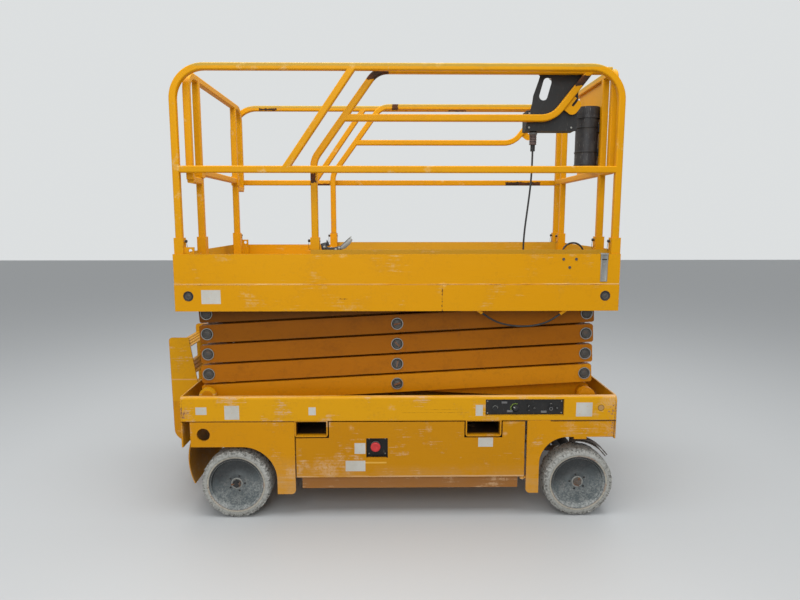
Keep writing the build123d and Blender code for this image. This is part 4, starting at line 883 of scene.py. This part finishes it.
joined("platformBolts", parts, "platform")

bead = {
    "radius": 0.002, "face": 0.597, "ripple": 0.0003, "height": 1.2808,
    "places": [(-0.93, 0.05), (-0.62, 0.05), (-0.3, 0.06), (0.03, 0.05), (0.3, 0.03), (0.39, 0.06), (0.586, 0.06),
        (0.746, 0.05), (0.935, 0.06), (1.12, 0.06)]}
parts = []
for side in (-1, 1):
    for x, length in bead["places"]:
        points = [(x + length * (i / 10 - 0.5), side * (bead["face"] + bead["ripple"] * (i % 2)), bead["height"])
                  for i in range(11)]
        parts.append(bent("seamBead", points, bead["radius"], paintPlates))
joined("seamBeads", parts, "platform")
print("skirt")


# steel strap and black latch on the front corner of the toe board
strap = {
    "plate": {"low": (1.133, -0.5999, 1.2935), "high": (1.169, -0.5969, 1.437), "face": right,
        "steps": [("inset", 0.005), ("raise", -0.0008)], "edge": 0.0006},
    "lip": {"low": (1.13, -0.5995, 1.437), "high": (1.172, -0.588, 1.4405), "face": (0, 0, 1),
        "steps": [("inset", 0.003), ("raise", 0.0006)], "edge": 0.0006},
    "latch": {"low": (1.131, -0.5998, 1.405), "high": (1.171, -0.59, 1.436), "face": right,
        "steps": [("inset", 0.006), ("raise", -0.0015)], "edge": 0.0012},
    "screw": {"radius": 0.0045, "depth": 0.0028, "sides": 6, "edge": 0.0005,
        "steps": [("inset", 0.0015), ("raise", -0.0008)]}, "screws": [(1.151, 1.312), (1.151, 1.385)],
    "screwFace": 0.5972}


def makeStrap(s):
    parts = [slab("strapPlate", s["plate"], zincSteel), slab("strapLip", s["lip"], zincSteel),
             slab("strapLatch", s["latch"], blackPlastic)]
    for x, z in s["screws"]:
        parts.append(seated(turned("strapScrew", s["screw"], zincSteel), (x, -s["screwFace"], z), right, z * 9))
    return parts


joined("cornerStrap", makeStrap(strap), "platform")
print("strap")


# pins through the rail sockets, each with a black knob and a short lanyard
socketPin = {
    "rod": 0.0042, "wire": 0.0011, "height": 1.502, "platform": [(-1.0445, 0.567, 1), (1.2105, 0.567, -1)],
    "extension": [(-0.355, 0.5, -1), (1.1945, 0.37, -1)],
    "knob": {"radius": 0.0062, "depth": 0.006, "sides": 24, "edge": 0.0014,
        "steps": [("taper", 1.35), ("raise", 0.005), ("taper", 0.85), ("inset", 0.002), ("raise", 0.001)]},
    "clip": {"radius": 0.006, "depth": 0.002, "sides": 20, "edge": 0.0005,
        "steps": [("inset", 0.0016), ("raise", 0.0006)]}}


def makeSocketPin(s, x, y, way):  # way: +1 or -1 along x, where the pin's knob stands
    z = s["height"]
    line = [(x - way * 0.027, y, z), (x, y, z), (x + way * 0.028, y, z)]
    rod = bent("socketRod", line, s["rod"], zincSteel)
    knob = seated(turned("socketKnob", s["knob"], blackPlastic), (x + way * 0.0265, y, z), (way, 0, 0))
    clip = seated(turned("socketClip", s["clip"], zincSteel), (x - way * 0.0245, y, z), (-way, 0, 0))
    wire = bent("socketWire", [(x + way * 0.034, y, z - 0.006), (x + way * 0.037, y + 0.004, z - 0.03),
                               (x + way * 0.033, y + 0.007, z - 0.05), (x + way * 0.0245, y + 0.005, z - 0.044),
                               (x + way * 0.0232, y + 0.002, z - 0.03)], s["wire"], blackPlastic, 1)
    return [rod, knob, clip, wire]


for body in ("platform", "extension"):
    parts = []
    for side in (-1, 1):
        for x, y, way in socketPin[body]:
            parts += makeSocketPin(socketPin, x, side * y, way)
    joined(body + "SocketPins", parts, body)
print("socket pins")


# ground control panel: key switch, dial with its marks, switches, plug, lamp windows and screws
panel = {
    "face": 0.588, "corner": (0.551, 0.575), "keyAt": (0.052, 0.036), "dialAt": (0.16, 0.036), "marks": 8,
    "plugAt": (0.35, 0.034), "lampsAt": [(0.085, 0.062), (0.115, 0.014), (0.298, 0.01)],
    "switchesAt": [(0.232, 0.048), (0.232, 0.024), (0.262, 0.036), (0.35, 0.06), (0.384, 0.036)],
    "screwsAt": [(0.01, 0.01), (0.01, 0.074), (0.408, 0.01), (0.408, 0.074)],
    "mark": {"low": (-0.0013, 0.0215, 0.0), "high": (0.0013, 0.0268, 0.001), "edge": 0.0002},
    "bezel": {"radius": 0.0145, "depth": 0.003, "sides": 40, "edge": 0.0006,
        "steps": [("inset", 0.0022), ("raise", -0.001)]},
    "keyBarrel": {"radius": 0.0095, "depth": 0.0105, "sides": 32, "edge": 0.0008,
        "steps": [("inset", 0.0025), ("raise", -0.001)]},
    "keySlot": {"low": (-0.0012, -0.006, 0.0085), "high": (0.0012, 0.006, 0.0108), "edge": 0.0002},
    "dial": {"radius": 0.019, "depth": 0.009, "sides": 12, "edge": 0.001,
        "steps": [("inset", 0.004), ("raise", 0.0015), ("taper", 0.85)]},
    "pointer": {"low": (-0.0015, 0.004, 0.0098), "high": (0.0015, 0.015, 0.0112), "edge": 0.0003},
    "boot": {"radius": 0.008, "depth": 0.004, "sides": 28, "edge": 0.0008,
        "steps": [("inset", 0.0022), ("raise", 0.0035), ("taper", 0.8), ("inset", 0.0012), ("raise", 0.003)]},
    "lever": {"radius": 0.0026, "depth": 0.0095, "sides": 16, "edge": 0.0006,
        "steps": [("taper", 1.45), ("inset", 0.0006), ("raise", 0.0008)]},
    "screw": {"radius": 0.004, "depth": 0.0022, "sides": 20, "edge": 0.0005,
        "steps": [("inset", 0.0018), ("raise", -0.0009)]},
    "window": {"low": (0.0, 0.0, 0.0), "high": (0.03, 0.011, 0.003), "face": (0, 0, 1),
        "steps": [("inset", 0.0018), ("raise", -0.0012)], "edge": 0.0004}}


def onPanel(piece, at, spin=0.0):
    return seated(piece, (panel["corner"][0] + at[0], -panel["face"], panel["corner"][1] + at[1]), right, spin)


def makePanelDetail(s):
    parts = [onPanel(turned("keyBezel", s["bezel"], zincSteel), s["keyAt"]),
             onPanel(turned("keyBarrel", s["keyBarrel"], zincSteel), s["keyAt"]),
             onPanel(slab("keySlot", s["keySlot"], blackPlastic), s["keyAt"], 0.5),
             onPanel(turned("dialKnob", s["dial"], blackPlastic), s["dialAt"], 0.2),
             onPanel(slab("dialPointer", s["pointer"], palePaint), s["dialAt"], 0.9)]
    for i in range(s["marks"]):
        parts.append(onPanel(slab("dialMark", s["mark"], greenPlastic), s["dialAt"], radians(-20 + i * 18)))
    for at in s["switchesAt"]:
        parts.append(onPanel(turned("switchBoot", s["boot"], blackPlastic), at, at[0] * 30))
        parts.append(onPanel(turned("switchLever", s["lever"], palePaint), at))
    parts.append(onPanel(turned("plugBezel", s["bezel"], blackPlastic), s["plugAt"]))
    parts.append(onPanel(turned("plugBarrel", s["keyBarrel"], greyPlastic), s["plugAt"]))
    for at in s["lampsAt"]:
        parts.append(onPanel(slab("lampWindow", s["window"], greyPlastic), at))
    for at in s["screwsAt"]:
        parts.append(onPanel(turned("panelScrew", s["screw"], zincSteel), at, at[0] * 40))
    return parts


joined("panelSwitches", makePanelDetail(panel), "chassis")
print("ground controls")


# red mushroom head over the stop button, with its collar, screws and the ledge above
stopHead = {
    "place": (-0.04, 0.3975), "face": 0.585, "collarFace": 0.5678, "screwFace": 0.5668,
    "screws": [(-0.036, -0.046), (-0.036, 0.038), (0.052, -0.046), (0.052, 0.038)],
    "head": {"radius": 0.02, "depth": 0.003, "sides": 48, "edge": 0.0012,
        "steps": [("raise", 0.002), ("taper", 1.32), ("raise", 0.0055), ("raise", 0.0026), ("taper", 0.93),
            ("raise", 0.0013), ("taper", 0.8), ("inset", 0.004), ("raise", -0.0006)]},
    "collar": {"radius": 0.0255, "depth": 0.004, "sides": 40, "edge": 0.001,
        "steps": [("inset", 0.005), ("raise", -0.0018)]},
    "ledge": {"low": (-0.098, -0.599, 0.33), "high": (0.02, -0.584, 0.3385), "face": right,
        "steps": [("inset", 0.002), ("raise", -0.0006)], "edge": 0.002},
    "screw": {"radius": 0.0035, "depth": 0.002, "sides": 20, "edge": 0.0004,
        "steps": [("inset", 0.0014), ("raise", -0.0007)]}}


def makeStopHead(s):
    x, z = s["place"]
    head = seated(turned("stopHead", s["head"], redPlastic), (x, -s["face"], z), right)
    collar = seated(turned("stopCollar", s["collar"], greyPlastic), (x, -s["collarFace"], z), right)
    parts = [head, collar]
    for dx, dz in s["screws"]:
        place = (x + dx, -s["screwFace"], z + dz)
        parts.append(seated(turned("stopScrew", s["screw"], zincSteel), place, right, dx * 50))
    return parts


joined("stopButtonHead", makeStopHead(stopHead), "tray_right")
joined("stopLedge", [slab("stopLedgeLip", stopHead["ledge"], paintTrays)], "tray_right")
print("stop button")


# console: ribs, nut and tail of the cord's gland, and the box screws
console = {
    "gland": (0.797, -0.44), "ribs": 6, "ribsFrom": 2.006, "ribStep": 0.0088, "nutAt": 2.057, "tailAt": 1.974,
    "face": 0.4835,
    "screws": [(0.765, 2.088), (0.985, 2.088), (0.765, 2.16), (0.9, 2.165), (0.985, 2.28), (0.868, 2.33)],
    "rib": {"radius": 0.0196, "depth": 0.005, "sides": 32, "edge": 0.0014,
        "steps": [("taper", 0.92), ("inset", 0.002), ("raise", 0.0006)]},
    "nut": {"radius": 0.0225, "depth": 0.011, "sides": 6, "edge": 0.0012,
        "steps": [("inset", 0.003), ("raise", 0.001)]},
    "tail": {"radius": 0.0066, "depth": 0.006, "sides": 24, "edge": 0.0006,
        "steps": [("taper", 1.2), ("raise", 0.008), ("taper", 1.15), ("raise", 0.008), ("taper", 1.12),
            ("inset", 0.001), ("raise", 0.0006)]},
    "screw": {"radius": 0.005, "depth": 0.0026, "sides": 20, "edge": 0.0006,
        "steps": [("inset", 0.002), ("raise", -0.001)]}}


def makeConsoleDetail(s):
    parts = []
    for i in range(s["ribs"]):
        place = (*s["gland"], s["ribsFrom"] + s["ribStep"] * i)
        parts.append(seated(turned("glandRib", s["rib"], bootPlastic), place))
    parts.append(seated(turned("glandNut", s["nut"], greyPlastic), (*s["gland"], s["nutAt"])))
    parts.append(seated(turned("glandTail", s["tail"], blackPlastic), (*s["gland"], s["tailAt"])))
    for x, z in s["screws"]:
        parts.append(seated(turned("boxScrew", s["screw"], zincSteel), (x, -s["face"], z), right, x * 20))
    return parts


joined("consoleFittings", makeConsoleDetail(console), "extension")
print("console")


# manual tube: three bands and the grip ribs round its lid
manualTube = {
    "place": (1.1255, -0.3), "band": {"major": 0.0606, "minor": 0.0026, "taller": 1.6},
    "bandsAt": (1.912, 1.98, 2.11), "ribs": 40, "ribsFrom": 2.176,
    "rib": {"low": (-0.0018, 0.0645, 0), "high": (0.0018, 0.0662, 0.034), "edge": 0.0006}}


def makeTubeBands(s):
    x, y = s["place"]
    parts = []
    for z in s["bandsAt"]:
        nothingPicked()
        bpy.ops.mesh.primitive_torus_add(major_radius=s["band"]["major"], minor_radius=s["band"]["minor"],
                                         major_segments=72, minor_segments=8, location=(x, y, z))
        band = bpy.context.object
        openMesh()
        pickAll()
        bpy.ops.transform.resize(value=(1, 1, s["band"]["taller"]))
        bpy.ops.object.mode_set(mode="OBJECT")
        freezePlace(band)
        parts.append(finished(band, 0, blackPlastic))
    for i in range(s["ribs"]):
        rib = slab("lidRib", s["rib"], blackPlastic)
        parts.append(seated(rib, (x, y, s["ribsFrom"]), (0, 0, 1), 2 * pi * i / s["ribs"]))
    return parts


joined("manualTubeBands", makeTubeBands(manualTube), "extension")
print("manual tube")


# lock of the sliding deck: its pedal body on the runner, shoes over the side board and a toothed grip
footLock = {
    "x": -0.3315, "y": -0.5, "base": 1.29,
    "body": {"face": right, "steps": [("inset", 0.006), ("raise", -0.0015)], "edge": 0.003},
    "foot": {"face": (0, 0, 1), "steps": [("inset", 0.003), ("raise", 0.001)], "edge": 0.001},
    "shoe": {"face": right, "steps": [("inset", 0.004), ("raise", -0.0015)], "edge": 0.003},
    "shoes": [((-0.327, -0.534, 1.418), (-0.293, -0.49, 1.449)), ((-0.243, -0.534, 1.418), (-0.208, -0.49, 1.448))],
    "cheeks": [(-0.318, 1.44), (-0.326, 1.487), (-0.302, 1.494), (-0.29, 1.468), (-0.262, 1.466), (-0.226, 1.474),
        (-0.212, 1.45), (-0.244, 1.438), (-0.29, 1.446)],
    "grip": [(-0.234, 1.452), (-0.218, 1.474), (-0.186, 1.503), (-0.17, 1.518), (-0.158, 1.507), (-0.17, 1.486),
        (-0.196, 1.461)], "horn": [(-0.3, 1.48), (-0.294, 1.509), (-0.284, 1.492), (-0.28, 1.472)], "teeth": 8,
    "firstTooth": (-0.2235, 1.469), "lastTooth": (-0.1725, 1.516), "toothWay": (-0.67, 0, 0.74),
    "tooth": {"low": (-0.0026, -0.0118, -0.002), "high": (0.0026, 0.0118, 0.003), "face": (0, 0, 1),
        "steps": [("inset", 0.0009), ("raise", 0.001)], "edge": 0.0006},
    "bolts": [(-0.306, 1.47), (-0.246, 1.456), (-0.228, 1.464)],
    "bolt": {"radius": 0.0075, "depth": 0.004, "sides": 6, "edge": 0.0008,
        "steps": [("inset", 0.0025), ("raise", 0.001)]},
    "spring": {"place": (-0.274, 1.448), "radius": 0.0075, "rise": 0.0008, "wire": 0.0013, "steps": 10, "turns": 4}}


def cutOut(name, outline, y0, y1, edge, finish):  # a plate with this outline in x and z, between two y
    nothingPicked()
    bpy.ops.mesh.primitive_circle_add(vertices=len(outline), radius=1, fill_type="NGON", rotation=(pi / 2, 0, 0))
    piece = justAdded(name)
    for point, (x, z) in zip(piece.data.vertices, outline):
        point.co = (x, y0, z)
    openMesh()
    pickAll()
    bpy.ops.mesh.extrude_region_move(TRANSFORM_OT_translate={"value": (0, y1 - y0, 0)})
    pickAll()
    bpy.ops.mesh.normals_make_consistent(inside=False)
    return finished(piece, edge, finish, angle=25)


def makeFootLock(s):
    x, y, base = s["x"], s["y"], s["base"]
    body = dict(s["body"], low=(x + 0.004, y - 0.0135, base), high=(x + 0.108, y + 0.0135, base + 0.145))
    foot = dict(s["foot"], low=(x + 0.002, y - 0.02, base), high=(x + 0.118, y + 0.02, base + 0.006))
    parts = [slab("lockBody", body, darkSteel), slab("lockFoot", foot, darkSteel)]
    for low, high in s["shoes"]:
        parts.append(slab("lockShoe", dict(s["shoe"], low=low, high=high), blackPlastic))
    for y0 in (y - 0.016, y + 0.01):
        parts.append(cutOut("lockCheek", s["cheeks"], y0, y0 + 0.006, 0.0012, blackPaint))
    parts.append(cutOut("lockGrip", s["grip"], y - 0.0105, y + 0.0105, 0.002, zincSteel))
    parts.append(cutOut("lockHorn", s["horn"], y - 0.004, y + 0.004, 0.0012, blackPaint))
    (x0, z0), (x1, z1) = s["firstTooth"], s["lastTooth"]
    for i in range(s["teeth"]):  # along the grip
        share = i / (s["teeth"] - 1)
        place = (x0 + (x1 - x0) * share, y, z0 + (z1 - z0) * share)
        parts.append(seated(slab("gripTooth", s["tooth"], zincSteel), place, s["toothWay"]))
    for bx, bz in s["bolts"]:
        parts.append(seated(turned("lockBolt", s["bolt"], zincSteel), (bx, y - 0.0155, bz), right, bx * 30))
    coil, (cx, cz) = s["spring"], s["spring"]["place"]
    points = []
    for i in range(coil["turns"] * coil["steps"] + 1):
        turn = 2 * pi * i / coil["steps"]
        points.append((cx + coil["radius"] * cos(turn), y + coil["radius"] * sin(turn), cz + coil["rise"] * turn))
    parts.append(bent("lockSpring", points, coil["wire"], zincSteel, 1))
    return parts


piece = joined("footLockDetail", makeFootLock(footLock), "extension")
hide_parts("lock_pedal")
print("foot lock")


# pressed dimples on the ladder treads and weld beads at their ends
ladder = {
    "rows": 3, "across": 13, "half": 0.205, "beadRadius": 0.0026, "beadAt": 0.2342, "beadRipple": 0.0004,
    "dimple": {"radius": 0.0085, "depth": 0.001, "sides": 14, "edge": 0.0,
        "steps": [("inset", 0.002), ("raise", 0.0014), ("inset", 0.0022), ("raise", -0.0012)]},
    "treads": [(0.406, -1.228, -1.112), (0.564, -1.228, -1.112), (0.722, -1.228, -1.118), (0.88, -1.228, -1.142)]}


def makeDimples(s):
    dimple = turned("treadDimple", s["dimple"], paintChassis)
    parts = []
    for height, back, front in s["treads"]:
        for row in range(s["rows"]):
            for i in range(s["across"]):
                y = s["half"] * (2 * (i + 0.5 * (row % 2)) / (s["across"] - 0.5) - 1)
                x = back + (front - back) * (row + 0.5) / s["rows"]
                copy = another(dimple)
                copy.location = (x, y, height - 0.0002)
                freezePlace(copy)
                parts.append(copy)
        for side in (-1, 1):
            points = []
            for i in range(9):
                y = side * (s["beadAt"] - s["beadRipple"] * (i % 2))
                points.append((back + (front - back) * i / 8, y, height + 0.0005))
            parts.append(bent("treadBead", points, s["beadRadius"], paintChassis))
    thrownAway(dimple)
    return parts


joined("ladderDimples", makeDimples(ladder), "chassis")
print("ladder")


# the two cords, each a limp line through the points it hangs over
controlCord = {
    "diameter": 0.01, "length": 1.105,
    "points": [(0.797, -0.44, 1.972), (0.797, -0.44, 1.905), (0.792, -0.443, 1.8), (0.778, -0.45, 1.68),
        (0.763, -0.455, 1.56), (0.757, -0.456, 1.452), (0.768, -0.452, 1.372), (0.808, -0.446, 1.318),
        (0.868, -0.444, 1.298), (0.918, -0.448, 1.302), (0.955, -0.456, 1.34), (0.967, -0.464, 1.398),
        (0.967, -0.468, 1.455), (1.0, -0.468, 1.489), (1.048, -0.468, 1.489), (1.081, -0.468, 1.455),
        (1.081, -0.468, 1.431)]}
harnessCord = {
    "diameter": 0.01, "length": 0.446,
    "points": [(0.524, -0.578, 1.126), (0.572, -0.574, 1.091), (0.632, -0.57, 1.066), (0.7, -0.568, 1.054),
        (0.768, -0.568, 1.052), (0.836, -0.571, 1.063), (0.894, -0.575, 1.087), (0.936, -0.578, 1.12)]}


def layCord(name, s, body, node):
    piece = cordCurve(name, s["points"], s["diameter"] / 2, 8, 3)
    piece.data.materials.append(cordBlack)
    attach(piece, body)
    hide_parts(node)
    return piece


piece = layCord("controlCordLine", controlCord, "extension", "control_cord")
piece = layCord("harnessCordLine", harnessCord, "platform", "harness_cord")
print("cords laid")


# floor, wall and light
room = {"floor": (0.5, 0.515, 0.52), "wall": (0.72, 0.74, 0.745), "sky": (0.95, 0.97, 1.0), "skyLevel": 0.42}


def plainFinish(name, colour, roughness):
    material = bpy.data.materials.new(name)
    material.use_nodes = True
    shader = material.node_tree.nodes["Principled BSDF"]
    shader.inputs["Base Color"].default_value = (*colour, 1)
    shader.inputs["Roughness"].default_value = roughness
    return material


def buildRoom(s):
    bpy.ops.object.select_all(action="DESELECT")
    bpy.ops.mesh.primitive_plane_add(size=40, location=(0, 0, 0))
    floor = bpy.context.object
    floor.name = "floor"
    floor.data.materials.append(plainFinish("paleFloor", s["floor"], 0.55))
    world = bpy.data.worlds.new("studio")
    bpy.context.scene.world = world
    world.use_nodes = True
    tree = world.node_tree
    tree.nodes.clear()
    out = tree.nodes.new("ShaderNodeOutputWorld")
    light = tree.nodes.new("ShaderNodeBackground")
    light.inputs["Color"].default_value = (*s["sky"], 1)
    light.inputs["Strength"].default_value = s["skyLevel"]
    seen = tree.nodes.new("ShaderNodeBackground")
    seen.inputs["Color"].default_value = (*s["wall"], 1)
    seen.inputs["Strength"].default_value = 1
    rays = tree.nodes.new("ShaderNodeLightPath")
    either = tree.nodes.new("ShaderNodeMath")
    either.operation = "MAXIMUM"
    tree.links.new(rays.outputs["Is Camera Ray"], either.inputs[0])
    tree.links.new(rays.outputs["Is Glossy Ray"], either.inputs[1])
    mix = tree.nodes.new("ShaderNodeMixShader")
    tree.links.new(either.outputs[0], mix.inputs[0])
    tree.links.new(light.outputs[0], mix.inputs[1])
    tree.links.new(seen.outputs[0], mix.inputs[2])
    tree.links.new(mix.outputs[0], out.inputs["Surface"])


lamps = {
    "ceilingLamp": {"place": (0, -0.6, 5.2), "size": 5.0, "power": 300, "aim": (0, 0, 1.0)},
    "frontLamp": {"place": (-0.6, -5.6, 3.6), "size": 3.0, "power": 110, "aim": (0, 0, 1.2)}}


def addLamp(name, s):
    lamp = bpy.data.objects.new(name, bpy.data.lights.new(name, "AREA"))
    lamp.data.size = s["size"]
    lamp.data.energy = s["power"]
    lamp.location = s["place"]
    lamp.rotation_euler = (Vector(s["aim"]) - Vector(s["place"])).to_track_quat("-Z", "Y").to_euler()
    bpy.context.scene.collection.objects.link(lamp)


buildRoom(room)
for name, s in lamps.items():
    addLamp(name, s)
bpy.context.scene.view_settings.view_transform = "Standard"
print("room and lamps")
